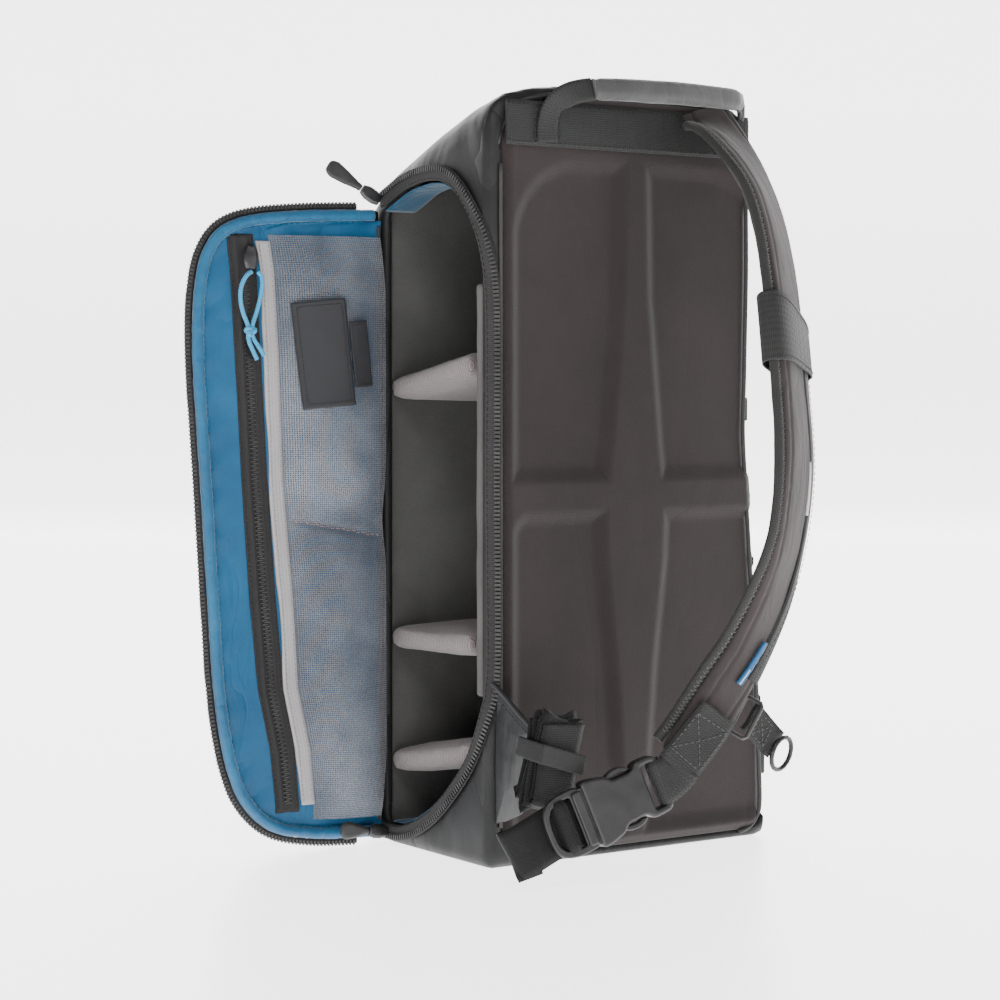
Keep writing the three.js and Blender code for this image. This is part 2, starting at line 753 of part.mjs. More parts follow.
// An upright band on the door between two columns of the strip table.
function doorBand(outerEdge, innerEdge, n, thickness, from = 0.945, to = 0.06) {
  const steps = 12;
  const grid = Array.from({ length: steps + 1 }, (_, k) => {
    const up = THREE.MathUtils.lerp(from, to, k / steps);
    return [outerEdge(up), innerEdge(up)].map((u) => onDoor(u, n, up * flapHeight));
  });
  return sheet(grid, () => doorIn.clone().multiplyScalar(thickness));
}

const stripEdge = (up) => valueAt(stripRows, 'strip', up, 'up') * flapReach;
const bindingEdge = (up) => valueAt(stripRows, 'binding', up, 'up') * flapReach;
const pocketBase = gap * 2 + clothThickness;

function pocketStrip() {
  const inner = (up) => Math.max(stripEdge(up) - pocketZipWidth, bindingEdge(up) + gap);
  return piece('pocket_strip', doorBand(stripEdge, inner, pocketBase, clothThickness), 0x2b2828);
}

function meshBinding() {
  const inner = (up) => bindingEdge(up) - bindingWidth;
  const wavy = (up) => bindingEdge(up) - Math.max(Math.sin(up * 23), 0) * 1.2;
  return piece('mesh_binding', doorBand(wavy, inner, pocketBase, clothThickness), 0xafa8aa);
}

// How far the mesh stands off the lining at a place on the door: two bags, pinched between.
function meshFace(u, up) {
  const outer = bindingEdge(up) - bindingWidth - gap * 3;
  const share = THREE.MathUtils.clamp((outer - u) / (outer - meshHinge), 0, 1);
  const pinch = 1 - 0.45 * Math.exp(-(((up - 0.51) / 0.05) ** 2));
  const ends = THREE.MathUtils.clamp(Math.min((0.965 - up) / 0.1, (up - 0.02) / 0.12), 0, 1);
  const belly = Math.sin(Math.PI * share * 0.78) ** 0.8 * pinch * Math.sqrt(ends);
  return pocketBase + meshBulge * belly;
}

// The mesh pocket bellies out from its binding to the hinge edge.
function meshPocket() {
  const rowShares = [0.955, 0.92, 0.86, 0.78, 0.7, 0.62, 0.56, 0.52, 0.48, 0.4, 0.3, 0.2, 0.12, 0.06, 0.035];
  const columns = [0, 0.12, 0.28, 0.46, 0.64, 0.82, 1];
  const grid = rowShares.map((up) => {
    const outer = bindingEdge(up) - bindingWidth - gap * 3;
    return columns.map((share) => {
      const u = THREE.MathUtils.lerp(outer, meshHinge, share);
      return onDoor(u, meshFace(u, up), up * flapHeight);
    });
  });
  return piece('mesh_pocket', sheet(grid, () => doorIn.clone().multiplyScalar(meshThickness)), 0x828c9b, 0.7);
}

// A woven label that lies on the mesh, tilted a little, and the tab beside it.
function doorLabel(name, centreU, centreUp, width, height, colour) {
  const tilt = THREE.MathUtils.degToRad(6);
  const ends = [-0.5, -0.17, 0.17, 0.5];
  const grid = ends.map((tall) => ends.map((wide) => {
    const u = centreU * flapReach + Math.cos(tilt) * wide * width + Math.sin(tilt) * tall * height;
    const z = centreUp * flapHeight + Math.cos(tilt) * tall * height - Math.sin(tilt) * wide * width;
    return onDoor(u, meshFace(u, z / flapHeight) + meshThickness + gap * 2, z);
  }));
  return piece(name, sheet(grid, () => doorIn.clone().multiplyScalar(clothThickness)), colour);
}

function labels() {
  return [
    doorLabel('label_patch', 0.365, 0.77, labelWidth, labelHeight, 0x1c1b1c),
    doorLabel('label_tab', 0.185, 0.77, labelTabWidth, labelTabHeight, 0x232222),
  ];
}

// A zip slider with its long rounded tongue.
function slider(name, point, along, facing) {
  const stations = [-0.5, -0.2, 0.2, 0.5].map((share) => ({
    point: point.clone().addScaledVector(along, share * sliderLength),
    across: along.clone().cross(facing).normalize(),
  }));
  const taper = [0.72, 1, 1, 0.66];
  const section = (share) => flatSection(sliderWidth * taper[Math.round(share * 3)], sliderThickness);
  return piece(name, sweep(stations, section), 0x3a3836, 0.4, 0.3);
}

function tongue(name, point, along, facing, length) {
  const rows = [
    { at: 0, wide: 0.42 },
    { at: 0.12, wide: 0.45 },
    { at: 0.45, wide: 0.78 },
    { at: 0.8, wide: 1 },
    { at: 0.94, wide: 0.82 },
    { at: 1, wide: 0.5 },
  ];
  const stations = rows.map((row) => ({
    point: point.clone().addScaledVector(along, row.at * length),
    across: along.clone().cross(facing).normalize(),
  }));
  let k = -1;
  const section = () => {
    k += 1;
    return flatSection(sliderWidth * 1.25 * rows[k].wide, sliderThickness);
  };
  return piece(name, sweep(stations, section), 0x3a3836, 0.5);
}

function doorSliders() {
  const top = onDoor(9, 7, flapHeight + 8);
  const foot = onDoor(8, 12.6, 5);
  const topAlong = new THREE.Vector3(-0.8, 0.25, 0.55).normalize();
  const footAlong = new THREE.Vector3(-0.97, -0.1, 0.12).normalize();
  return [
    slider('slider_top', top, topAlong, axisY),
    tongue('pull_top', top.clone().addScaledVector(topAlong, sliderLength * 0.5 + gap), topAlong, axisY, 24),
    slider('slider_foot', foot, footAlong, axisY),
    tongue('pull_foot', foot.clone().addScaledVector(footAlong, sliderLength * 0.5 + gap), footAlong, axisY, 20),
  ];
}

// Pocket slider with a looped cord, its knot and two free tails. The cord's points are chosen by hand,
// from the slider: out from the hinge, off the door and up.
const cordSpots = {
  pull_cord_left: [[0.4, 8.4, -8.4], [3.6, 9.2, -10.3], [6.8, 9, -16.3], [7.2, 8.4, -24.3],
    [5.4, 8, -32.3], [2.9, 8, -38.2]],
  pull_cord_right: [[-3.4, 8.4, -8.4], [-5.4, 9.2, -10.6], [-5.8, 9, -16.8], [-4.6, 8.4, -24.5],
    [-2.4, 8, -32.3], [-0.3, 8, -38.2]],
  pull_tail_left: [[2.5, 8, -46.4], [1, 8.2, -50.8], [-1.1, 8.2, -55], [-2.9, 8, -58.6]],
  pull_tail_right: [[-0.7, 8, -46.4], [-2.8, 8.4, -49.8], [-5, 8.6, -53.2], [-7, 8.4, -56.2]],
};
const knotSpot = { u: 1.1, n: 8.2, z: -42.3, wide: 8.4, deep: 6, tall: 7.2 };
const pullU = flapReach * 0.706;
const pullZ = flapHeight * 0.9187;

function pullCord(name) {
  const points = cordSpots[name].map(([u, n, z]) => onDoor(pullU + u, n, pullZ + z));
  const path = new THREE.CatmullRomCurve3(points, false, 'centripetal');
  const sides = 8;
  const outline = new THREE.Shape(Array.from({ length: sides }, (_, k) => {
    const turn = ((k + 0.5) / sides) * 2 * Math.PI;
    return new THREE.Vector2(Math.cos(turn), Math.sin(turn)).multiplyScalar(cordDiameter / 2);
  }));
  const steps = points.length * 2;
  return piece(name, new THREE.ExtrudeGeometry(outline, { steps, extrudePath: path, bevelEnabled: false }), 0x199bd2);
}

function pocketPull() {
  const spot = onDoor(pullU, pocketBase + clothThickness + gap * 2 + sliderThickness / 2, pullZ);
  const knot = new THREE.SphereGeometry(0.5, 10, 7);
  knot.scale(knotSpot.wide, knotSpot.deep, knotSpot.tall);
  const centre = onDoor(pullU + knotSpot.u, knotSpot.n, pullZ + knotSpot.z);
  knot.translate(centre.x, centre.y, centre.z);
  return [
    slider('pocket_slider', spot, axisZ, doorIn),
    ...Object.keys(cordSpots).map(pullCord),
    piece('pull_knot', mergeVertices(stripped(knot)), 0x199bd2),
  ];
}

function stripped(geometry) {
  geometry.deleteAttribute('normal');
  geometry.deleteAttribute('uv');
  return geometry;
}

// Shoulder strap

function strapRow(row) {
  return {
    point: new THREE.Vector3(row.x * bodyWidth, back - row.out * padReach, row.up * bodyHeight),
    across: new THREE.Vector3(row.ax, row.ay, row.az).normalize(),
  };
}

function strapStations(from, to, steps) {
  return stationsAlong(strapRows.map(strapRow), steps, from, to);
}

function strapSize(at, column) {
  const place = at * (strapRows.length - 1);
  const low = Math.min(Math.floor(place), strapRows.length - 2);
  return THREE.MathUtils.lerp(strapRows[low][column], strapRows[low + 1][column], place - low);
}

// Stations moved off the strap's centre line, across it and out from the wearer.
function besideStrap(from, to, steps, sideways, outwards) {
  const line = strapStations(from, to, steps);
  return line.map((station, k) => {
    const along = line[Math.min(k + 1, steps)].point.clone().sub(line[Math.max(k - 1, 0)].point).normalize();
    const facing = along.clone().cross(station.across).normalize();
    const across = facing.clone().cross(along).normalize();
    const point = station.point.clone()
      .addScaledVector(across, sideways(station.at))
      .addScaledVector(facing, outwards(station.at));
    return { at: station.at, point, across, facing };
  });
}

const padHalf = (at) => (padWidth * strapSize(at, 'wide')) / 2;
const padFace = (at) => (padThickness * strapSize(at, 'thick')) / 2;

const padSteps = 28;
const bindingSteps = 22;

// The pad's own form, or a wider one around it, between two shares of its length.
function padForm(grow, from = 0, to = 1) {
  const steps = Math.round((to - from) * padSteps);
  return sweep(strapStations(from, to, steps), (_, station) => flatSection(
    (padHalf(station.at) + grow) * 2,
    (padFace(station.at) + grow) * 2,
    0.46,
    2,
  ));
}

function strapPad() {
  return piece('strap_pad', padForm(0), 0x463f3e, 0.9);
}

function strapBinding() {
  const sideways = (at) => -padHalf(at) - gap * 1.6 - bindingDiameter / 2;
  const stations = besideStrap(0.1, 0.985, bindingSteps, sideways, () => 0);
  return piece('strap_binding', sweep(stations, () => roundSection(bindingDiameter, bindingDiameter)), 0x3b3a39);
}

const keeperFrom = 11 / padSteps;
const keeperTo = 13 / padSteps;
const webbingTo = 23.5 / padSteps;

// The webbing's middle line, which slides off over the pad's outer edge as it goes down.
function webbingMiddle(at) {
  const share = (at - keeperFrom) / (webbingTo - keeperFrom);
  return padHalf(at) - webbingWidth * THREE.MathUtils.lerp(0.36, -0.04, share);
}

// Webbing that lies on the pad's outer face, as thick as the space between two forms of the pad.
function strapWebbing() {
  const reach = padThickness;
  const run = besideStrap(keeperFrom, webbingTo, 13, webbingMiddle, () => reach / 2);
  const band = sweep(run, () => ribbonSection(webbingWidth, reach));
  const over = padForm(gap + webbingThickness);
  return piece('strap_webbing', cut(meet(band, over), padForm(gap)), 0x353635);
}

function strapKeeper() {
  const clear = gap + webbingThickness + gap;
  const outer = padForm(clear + webbingThickness, keeperFrom, keeperTo);
  const inner = padForm(clear);
  const spare = 1 / padSteps;
  const bindingSide = (at) => -padHalf(at) - gap - bindingDiameter / 2;
  const binding = besideStrap(keeperFrom - spare, keeperTo + spare, 4, bindingSide, () => 0);
  const path = sweep(binding, () => roundSection(bindingDiameter + gap * 3, bindingDiameter + gap * 3));
  return piece('strap_keeper', cut(outer, inner, path), 0x3e413e);
}

// The frame of the strap's lower end, which its webbing and buckle follow
const buckleBase = new THREE.Vector3(-bodyWidth * 0.186, back - padReach * 0.812, bodyHeight * 0.135);
const buckleAlong = new THREE.Vector3(-0.909, 0.206, -0.36).normalize();
const buckleDown = new THREE.Vector3(0.302, -0.207, -0.93).normalize();
const buckleOut = buckleAlong.clone().cross(buckleDown).normalize();

function onBuckle(along, down, out) {
  return buckleBase.clone()
    .addScaledVector(buckleAlong, along)
    .addScaledVector(buckleDown, down)
    .addScaledVector(buckleOut, out);
}

const socketStart = 5;
const plugStart = socketStart + socketLength + gap;

// Webbing sewn on the strap's lower end, which runs to the buckle's bar.
function strapEndWeb() {
  const lift = (at) => padFace(at) + gap * 6.5 + webbingThickness / 2;
  const onPad = besideStrap(25 / padSteps, 1, 3, () => 0, lift);
  const last = onPad[onPad.length - 1];
  const bar = { point: onBuckle(socketStart - webbingThickness * 3.05, 0, 1.2), across: buckleDown };
  const halfway = {
    point: last.point.clone().lerp(bar.point, 0.55).addScaledVector(buckleOut, 1.4),
    across: buckleDown,
  };
  return piece('strap_end_web', sweep([...onPad, halfway, bar], () => ribbonSection(webbingWidth, webbingThickness)), 0x3e413e);
}

// A flat outline in the buckle's frame, given as along and down, with its thickness centred.
function bucklePlate(points, thickness, bevelled = true) {
  const shape = new THREE.Shape(points.map(([a, d]) => new THREE.Vector2(a, d)));
  const bevel = bevelled ? Math.min(1.2, thickness * 0.3) : 0;
  const plate = new THREE.ExtrudeGeometry(shape, {
    depth: thickness - bevel * 2,
    bevelThickness: bevel,
    bevelSize: bevel,
    bevelOffset: -bevel,
    bevelSegments: 1,
    bevelEnabled: bevelled,
  });
  plate.translate(0, 0, bevel - thickness / 2);
  const base = onBuckle(0, 0, 0);
  plate.applyMatrix4(new THREE.Matrix4().makeBasis(buckleAlong, buckleDown, buckleOut).setPosition(base));
  return plate;
}

function mirroredOutline(run) {
  return [...run, ...run.map(([a, d]) => [a, -d]).reverse()];
}

function buckleSocket() {
  const half = buckleWidth / 2;
  const end = socketStart + socketLength;
  const outline = mirroredOutline([
    [socketStart, half * 0.76],
    [socketStart + 4, half * 0.84],
    [socketStart + 12, half * 0.86],
    [socketStart + 17, half * 0.7],
    [socketStart + 24, half * 0.76],
    [end - 5, half],
    [end, half],
  ]);
  return piece('buckle_socket', bucklePlate(outline, buckleThickness), 0x504e4e, 0.45);
}

function bucklePlug() {
  const half = (buckleWidth / 2) * 0.96;
  const end = plugStart + plugLength;
  const outline = mirroredOutline([
    [plugStart, half],
    [end - 8, half * 0.94],
    [end - 2, half * 0.78],
    [end, half * 0.5],
  ]);
  const bar = 3;
  const slot = (from, to, tall) => bucklePlate(
    [[from, tall], [to, tall], [to, -tall], [from, -tall]],
    plugThickness * 2,
    false,
  );
  const plate = cut(
    bucklePlate(outline, plugThickness),
    slot(plugStart + plugLength * 0.36, plugStart + plugLength * 0.52, half * 0.74),
    slot(plugStart + plugLength * 0.52 + bar, end - bar * 1.2, half * 0.62),
  );
  return piece('buckle_plug', plate, 0x504e4e, 0.45);
}

// Hip webbing: a folded bundle by the wing and the flat tail that comes out of the plug
const bundleFoot = new THREE.Vector3(-0.17, 0.1, -0.98).normalize();
const bundleAcross = new THREE.Vector3(0.9, 0.14, -0.28).normalize();
const bundleStack = bundleFoot.clone().cross(bundleAcross).normalize();
const bundleCentre = new THREE.Vector3(left + 5, back - wingReach - hipWebWidth * 0.355, bodyHeight * 0.158);

function onBundle(foot, across, stack) {
  return bundleCentre.clone()
    .addScaledVector(bundleFoot, foot)
    .addScaledVector(bundleAcross, across)
    .addScaledVector(bundleStack, stack);
}

// One ribbon folded to and fro, drawn together where its elastic holds it.
function webBundle() {
  const stations = [];
  const legs = bundleFolds * 2;
  const turnSteps = 2;
  for (let leg = 0; leg < legs; leg += 1) {
    const way = leg % 2 === 0 ? 1 : -1;
    const layer = (leg - (legs - 1) / 2) * bundlePitch;
    [-0.42, -0.14, 0.14, 0.42].forEach((share) => {
      const pinch = 0.62 + 0.75 * Math.abs(share + 0.1);
      stations.push(onBundle(way * share * bundleLength, 0, layer * (way > 0 ? pinch : 0.62 + 0.75 * Math.abs(0.1 - share))));
    });
    if (leg < legs - 1) {
      for (let step = 1; step < turnSteps; step += 1) {
        const turn = (step / turnSteps) * Math.PI;
        const pinch = way > 0 ? 1.01 : 0.86;
        const reach = way * (0.42 * bundleLength + Math.sin(turn) * bundlePitch * 0.5);
        stations.push(onBundle(reach, 0, (layer + ((1 - Math.cos(turn)) / 2) * bundlePitch) * pinch));
      }
    }
  }
  const swept = stations.map((point) => ({ point, across: bundleAcross }));
  return piece('web_bundle', sweep(swept, () => ribbonSection(hipWebWidth, webbingThickness * 0.85)), 0x323332);
}

function bundleLoop() {
  const halfStack = bundleFolds * bundlePitch * 0.8 + webbingThickness;
  const ring = (grow, foot) => ribbonSection((hipWebWidth / 2 + grow) * 2, (halfStack + grow) * 2)
    .map(([a, s]) => onBundle(foot, a, s));
  const outer = loft([ring(gap * 1.5 + 1.4, -8.5), ring(gap * 1.5 + 1.4, 2.5)]);
  const inner = loft([ring(gap * 1.5, -12), ring(gap * 1.5, 6)]);
  return piece('bundle_loop', cut(outer, inner), 0x262626);
}

function tailWeb() {
  const lift = plugThickness / 2 + gap + webbingThickness / 2;
  const plugEnd = plugStart + plugLength;
  const rows = [
    { point: onBuckle(plugStart + plugLength * 0.6, 0, lift + 0.5) },
    { point: onBuckle(plugEnd + 2, 0, lift + 0.3) },
    { point: onBuckle(plugEnd + tailLength * 0.5, 1, 1) },
    { point: onBuckle(plugEnd + tailLength, 2, -1) },
    { point: onBuckle(plugEnd + tailLength + 1.2, 2, -4) },
    { point: onBuckle(plugEnd + tailLength - 4, 3, -5.6) },
    { point: onBuckle(plugEnd + tailLength - 15, 4, -6) },
  ].map((row) => ({ ...row, across: new THREE.Vector3(0.45, -0.2, -0.87).normalize() }));
  return piece('tail_web', sweep(stationsAlong(rows, 12), () => ribbonSection(hipWebWidth, webbingThickness)), 0x323332);
}

// The coated wing sewn in the seam, which carries the hip webbing.
function wing() {
  const top = bodyHeight * 0.245;
  const seat = back + bodySections[0].at * bodyDepth - gap;
  const rows = [
    { out: 0, high: 1.00, low: 0.06 },
    { out: 0.3, high: 0.93, low: 0.10 },
    { out: 0.65, high: 0.84, low: 0.17 },
    { out: 1, high: 0.75, low: 0.28 },
  ];
  const steps = 4;
  const grid = rows.map((row) => Array.from({ length: steps + 1 }, (_, k) => {
    const share = THREE.MathUtils.lerp(row.low, row.high, k / steps);
    const swell = Math.sin(Math.PI * (k / steps)) * Math.sin(Math.PI * row.out) * 3;
    const x = left * bodySections[0].side - row.out * clothThickness - swell;
    return new THREE.Vector3(x, seat - row.out * wingReach, top - (1 - share) * wingHeight);
  }));
  const cloth = sheet(grid, () => new THREE.Vector3(clothThickness, 0, 0));
  return piece('wing', cut(cloth, zipSweep(zipWidth + gap * 2, zipThickness + gap * 2)), 0x4b4b4c, 0.4);
}

// Hardware at the strap's lower outside edge

function squareRing() {
  const centre = new THREE.Vector3(bodyWidth * 0.0435, back - padReach * 0.906, bodyHeight * 0.205);
  const along = new THREE.Vector3(0.32, -0.86, -0.39).normalize();
  const tall = new THREE.Vector3(0.55, -0.03, 0.83).normalize();
  const facing = along.clone().cross(tall).normalize();
  const halfAlong = 5.5;
  const halfTall = accessoryWebWidth * 0.5 + squareRingWire;
  const corners = [[-1, -1], [1, -1], [1, 1], [-1, 1]];
  const points = corners.flatMap(([a, t]) => [0.72, 1].map((share, k) => {
    const first = (a === t ? k === 0 : k === 1);
    return centre.clone()
      .addScaledVector(along, a * halfAlong * (first ? 1 : 0.72))
      .addScaledVector(tall, t * halfTall * (first ? 0.86 : 1));
  }));
  const stations = points.map((point) => ({ point, across: facing }));
  return {
    mesh: piece('square_ring', sweep(stations, () => roundSection(squareRingWire, squareRingWire), true), 0x4a4848, 0.45),
    centre,
    along,
    tall,
  };
}

function accessory() {
  const { mesh, centre, along, tall } = squareRing();
  const ringCentre = new THREE.Vector3(bodyWidth * 0.186, back - padReach * 0.866, bodyHeight * 0.152);
  const start = centre.clone().addScaledVector(along, 5.5 + squareRingWire * 0.8 + gap + webbingThickness * 0.6);
  const toRing = ringCentre.clone().sub(start);
  const end = start.clone().addScaledVector(toRing, 1 - (ringDiameter / 2 + gap * 1.5) / toRing.length());
  const rows = [0, 0.33, 0.67, 1].map((share) => ({
    point: start.clone().lerp(end, share).addScaledVector(axisY, -1.2 * Math.sin(Math.PI * share)),
    across: tall,
  }));
  const ring = new THREE.TorusGeometry((ringDiameter - ringWire) / 2, ringWire / 2, 6, 16);
  const web = sweep(stationsAlong(rows, 4), () => ribbonSection(accessoryWebWidth, webbingThickness * 2));
  ring.lookAt(toRing.clone().cross(tall));
  ring.translate(ringCentre.x, ringCentre.y, ringCentre.z);
  return [
    mesh,
    piece('accessory_web', web, 0x353635),
    piece('accessory_ring', mergeVertices(stripped(ring), 1e-3), 0x6a6a6c, 0.35, 0.6),
  ];
}

// A folded label tab on the pad's face, along the webbing's inner edge.
function strapTab() {
  const outwards = (at) => padFace(at) + gap * 5 + clothThickness / 2;
  const sideways = (at) => webbingMiddle(at) - webbingWidth / 2 - gap * 8 - tabWidth / 2;
  const stations = besideStrap(0.795, 0.85, 6, sideways, outwards);
  return piece('strap_tab', sweep(stations, () => ribbonSection(tabWidth, clothThickness)), 0x1c6496);
}

// Stretch pocket on the far side

function sideFace(z) {
  return waisted(right, z);
}

function sidePocket() {
  const rowShares = [0, 0.06, 0.2, 0.4, 0.6, 0.8, 0.94, 1];
  const columns = [0, 0.06, 0.2, 0.4, 0.6, 0.8, 0.94, 1];
  const low = bodyHeight * 0.135;
  const grid = rowShares.map((share) => {
    const z = low + share * pocketHeight;
    const fill = Math.min(share / 0.2, 1) ** 0.5 * (0.85 + 0.15 * Math.sin(Math.PI * share));
    return columns.map((column) => {
      const y = back + bodyDepth * 0.16 + column * pocketDepth;
      const belly = Math.sin(Math.PI * column) ** 0.45 * pocketProud * fill;
      return new THREE.Vector3(sideFace(z) + gap * 2 + belly, y, z);
    });
  });
  return piece('side_pocket', sheet(grid, () => new THREE.Vector3(pocketWall, 0, 0)), 0x57585a, 0.85);
}

function sideTabs() {
  const loopAt = (name, up, tall, width, proud, y) => {
    const z = bodyHeight * up;
    const stations = [-0.5, 0, 0.5].map((share) => ({
      point: new THREE.Vector3(sideFace(z) + gap * 2 + proud / 2, y, z + share * tall),
      across: axisY,
    }));
    return piece(name, sweep(stations, () => ribbonSection(width, proud)), 0x353635);
  };
  return [
    loopAt('side_loop_upper', 0.60, 14, 12, 3, back + bodyDepth * 0.10),
    loopAt('side_loop_lower', 0.115, 26, 12, 3.4, back + bodyDepth * 0.09),
  ];
}

const bag = new THREE.Group();
bag.add(
  shellBody(),
  harnessPanel(),
  topBand(),
  ...handle(),
  openingZip(),
  rimFacing('rim_facing_top', 0, 0.30),
  rimFacing('rim_facing_foot', 0.72, 0.985),
  nearRoll(),
  innerWall(),
  ...dividers(),
  flapShell(),
  flapLining(),
  flapRim(),
  flapZip(),
  pocketStrip(),
  meshBinding(),
  meshPocket(),
  ...labels(),
  ...doorSliders(),
  ...pocketPull(),
  strapPad(),
  strapBinding(),
  strapWebbing(),
  strapKeeper(),
  strapEndWeb(),
  buckleSocket(),
  bucklePlug(),
  tailWeb(),
  webBundle(),
  bundleLoop(),
  wing(),
  strapTab(),
  ...accessory(),
  sidePocket(),
  ...sideTabs(),
);

export default bag;
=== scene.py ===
"""The looks of a camera sling bag that stands with its side door open. Metres, +Z up."""
import math
import random

import bmesh
import bpy
import numpy as np
from mathutils import Matrix, Vector, noise


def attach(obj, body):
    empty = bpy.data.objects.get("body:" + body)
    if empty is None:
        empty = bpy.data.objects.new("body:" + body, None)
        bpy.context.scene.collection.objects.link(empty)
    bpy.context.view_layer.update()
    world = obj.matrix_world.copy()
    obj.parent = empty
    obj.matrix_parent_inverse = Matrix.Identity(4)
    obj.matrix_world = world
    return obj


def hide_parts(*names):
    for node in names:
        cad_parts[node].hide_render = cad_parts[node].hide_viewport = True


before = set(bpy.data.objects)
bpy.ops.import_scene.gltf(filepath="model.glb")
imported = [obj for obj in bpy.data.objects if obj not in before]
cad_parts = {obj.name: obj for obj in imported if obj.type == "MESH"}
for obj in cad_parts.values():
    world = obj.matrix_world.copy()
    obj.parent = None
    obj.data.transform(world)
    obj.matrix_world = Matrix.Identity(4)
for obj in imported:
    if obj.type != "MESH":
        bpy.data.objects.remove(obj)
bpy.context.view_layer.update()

# Studio: a pale glowing sweep behind and under the bag, one large soft light high on
# the left, a weak fill from the right, a light behind and an even white sky.
scene = bpy.context.scene
sweep_depth = 3.2
sweep_rise = 2.4
sweep_points = []
for step in range(25):
    turn = step / 24 * math.pi / 2
    sweep_points.append((sweep_depth + math.sin(turn) * 0.9, 0.9 - math.cos(turn) * 0.9))
sweep_profile = [(-6.0, 0.0), (0.0, 0.0), *sweep_points, (sweep_depth + 0.9, sweep_rise + 3)]
floor_mesh = bpy.data.meshes.new("studio_sweep")
floor_verts = [(x, y, z - 0.0002) for y, z in sweep_profile for x in (-7.0, 7.0)]
floor_faces = [(2 * k, 2 * k + 1, 2 * k + 3, 2 * k + 2) for k in range(len(sweep_profile) - 1)]
floor_mesh.from_pydata(floor_verts, [], floor_faces)
floor_mesh.shade_smooth()
studio_sweep = bpy.data.objects.new("studio_sweep", floor_mesh)
studio_sweep.rotation_euler.z = -0.6
scene.collection.objects.link(studio_sweep)
floor_paint = bpy.data.materials.new("studio_paint")
floor_paint.use_nodes = True
floor_shader = floor_paint.node_tree.nodes["Principled BSDF"]
floor_shader.inputs["Base Color"].default_value = (0.86, 0.86, 0.86, 1)
floor_shader.inputs["Roughness"].default_value = 0.32
floor_shader.inputs["Specular IOR Level"].default_value = 0.35
floor_shader.inputs["Emission Color"].default_value = (1, 1, 1, 1)
floor_shader.inputs["Emission Strength"].default_value = 2.9
floor_mesh.materials.append(floor_paint)

sky = bpy.data.worlds.new("studio_sky")
sky.use_nodes = True
sky.node_tree.nodes["Background"].inputs["Color"].default_value = (1, 1, 1, 1)
sky.node_tree.nodes["Background"].inputs["Strength"].default_value = 0.24
scene.world = sky


def studio_light(name, place, target, size, power, colour=(1, 1, 1)):
    data = bpy.data.lights.new(name, "AREA")
    data.shape = "RECTANGLE"
    data.size, data.size_y = size
    data.energy = power
    data.color = colour
    lamp = bpy.data.objects.new(name, data)
    lamp.location = place
    aim = Vector(target) - Vector(place)
    lamp.rotation_euler = aim.to_track_quat("-Z", "Y").to_euler()
    scene.collection.objects.link(lamp)
    return lamp


studio_light("key_light", (-1.3, -1.5, 2.0), (0, 0, 0.25), (1.2, 0.8), 27)
studio_light("right_light", (1.6, -1.9, 1.2), (0, 0, 0.25), (0.9, 1.2), 8)
studio_light("back_light", (0.9, 2.0, 1.8), (0, 0, 0.25), (1.6, 1.0), 22)

lens_data = bpy.data.cameras.new("studio_camera")
lens_data.sensor_width = 36
lens_data.lens = 90.4
lens_data.clip_start = 0.05
lens_data.clip_end = 60
studio_camera = bpy.data.objects.new("studio_camera", lens_data)
camera_turn = math.atan2(0.565, 0.825)
camera_fall = math.atan(110 / 2511)
studio_camera.location = (-0.886, -1.234, 0.2695)
studio_camera.rotation_euler = (math.pi / 2 - camera_fall, 0, -camera_turn)
scene.collection.objects.link(studio_camera)
scene.camera = studio_camera

# Pull cords: one doubled braided cord, 2.6 mm thick, through the pocket slider's
# eye. Both runs meet in an overhand knot and end in two short cut tails.


def curve_at(points, at, even=False):
    """A place on the round curve through points, at a share of their rows."""
    step = min(int(at * (len(points) - 1)), len(points) - 2)
    t = at * (len(points) - 1) - step
    b, c = points[step], points[step + 1]
    a = points[step - 1] if step > 0 else b * 2 - c
    d = points[step + 2] if step + 2 < len(points) else c * 2 - b
    if even:
        leave, arrive = (c - a) / 2, (d - b) / 2
    else:
        first, mid, last = ((q - p).length ** 0.5 for p, q in ((a, b), (b, c), (c, d)))
        leave = ((b - a) / first - (c - a) / (first + mid)) * mid + (c - b)
        arrive = (c - b) - ((d - b) / (mid + last) - (d - c) / last) * mid
    return (b + leave * t + ((c - b) * 3 - leave * 2 - arrive) * t ** 2
            + ((b - c) * 2 + leave + arrive) * t ** 3)


def curve_run(points, steps, even=False):
    """Places along the round curve, evenly by rows."""
    return [curve_at(points, k / steps, even) for k in range(steps + 1)]


def smooth_line(points, spacing):
    """Points at an even spacing on a smooth curve through the given ones."""
    ends = [Vector(p) for p in points]
    rail = [2 * ends[0] - ends[1], *ends, 2 * ends[-1] - ends[-2]]
    line = []
    for k in range(1, len(rail) - 2):
        a, b, c, d = rail[k - 1:k + 3]
        steps = max(1, round((c - b).length / spacing))
        for s in range(steps):
            t = s / steps
            line.append(0.5 * (2 * b + (c - a) * t + (2 * a - 5 * b + 4 * c - d) * t * t
                               + (3 * b - a - 3 * c + d) * t ** 3))
    line.append(ends[-1])
    return line


def new_group(name, inputs, outputs):
    """An empty shader node group with named float, vector or colour sockets."""
    group = bpy.data.node_groups.new(name, "ShaderNodeTree")
    for label, kind, value in inputs:
        socket = group.interface.new_socket(label, in_out="INPUT", socket_type=kind)
        if value is not None:
            socket.default_value = value
    for label, kind in outputs:
        group.interface.new_socket(label, in_out="OUTPUT", socket_type=kind)
    start = group.nodes.new("NodeGroupInput")
    end = group.nodes.new("NodeGroupOutput")
    return group, start, end


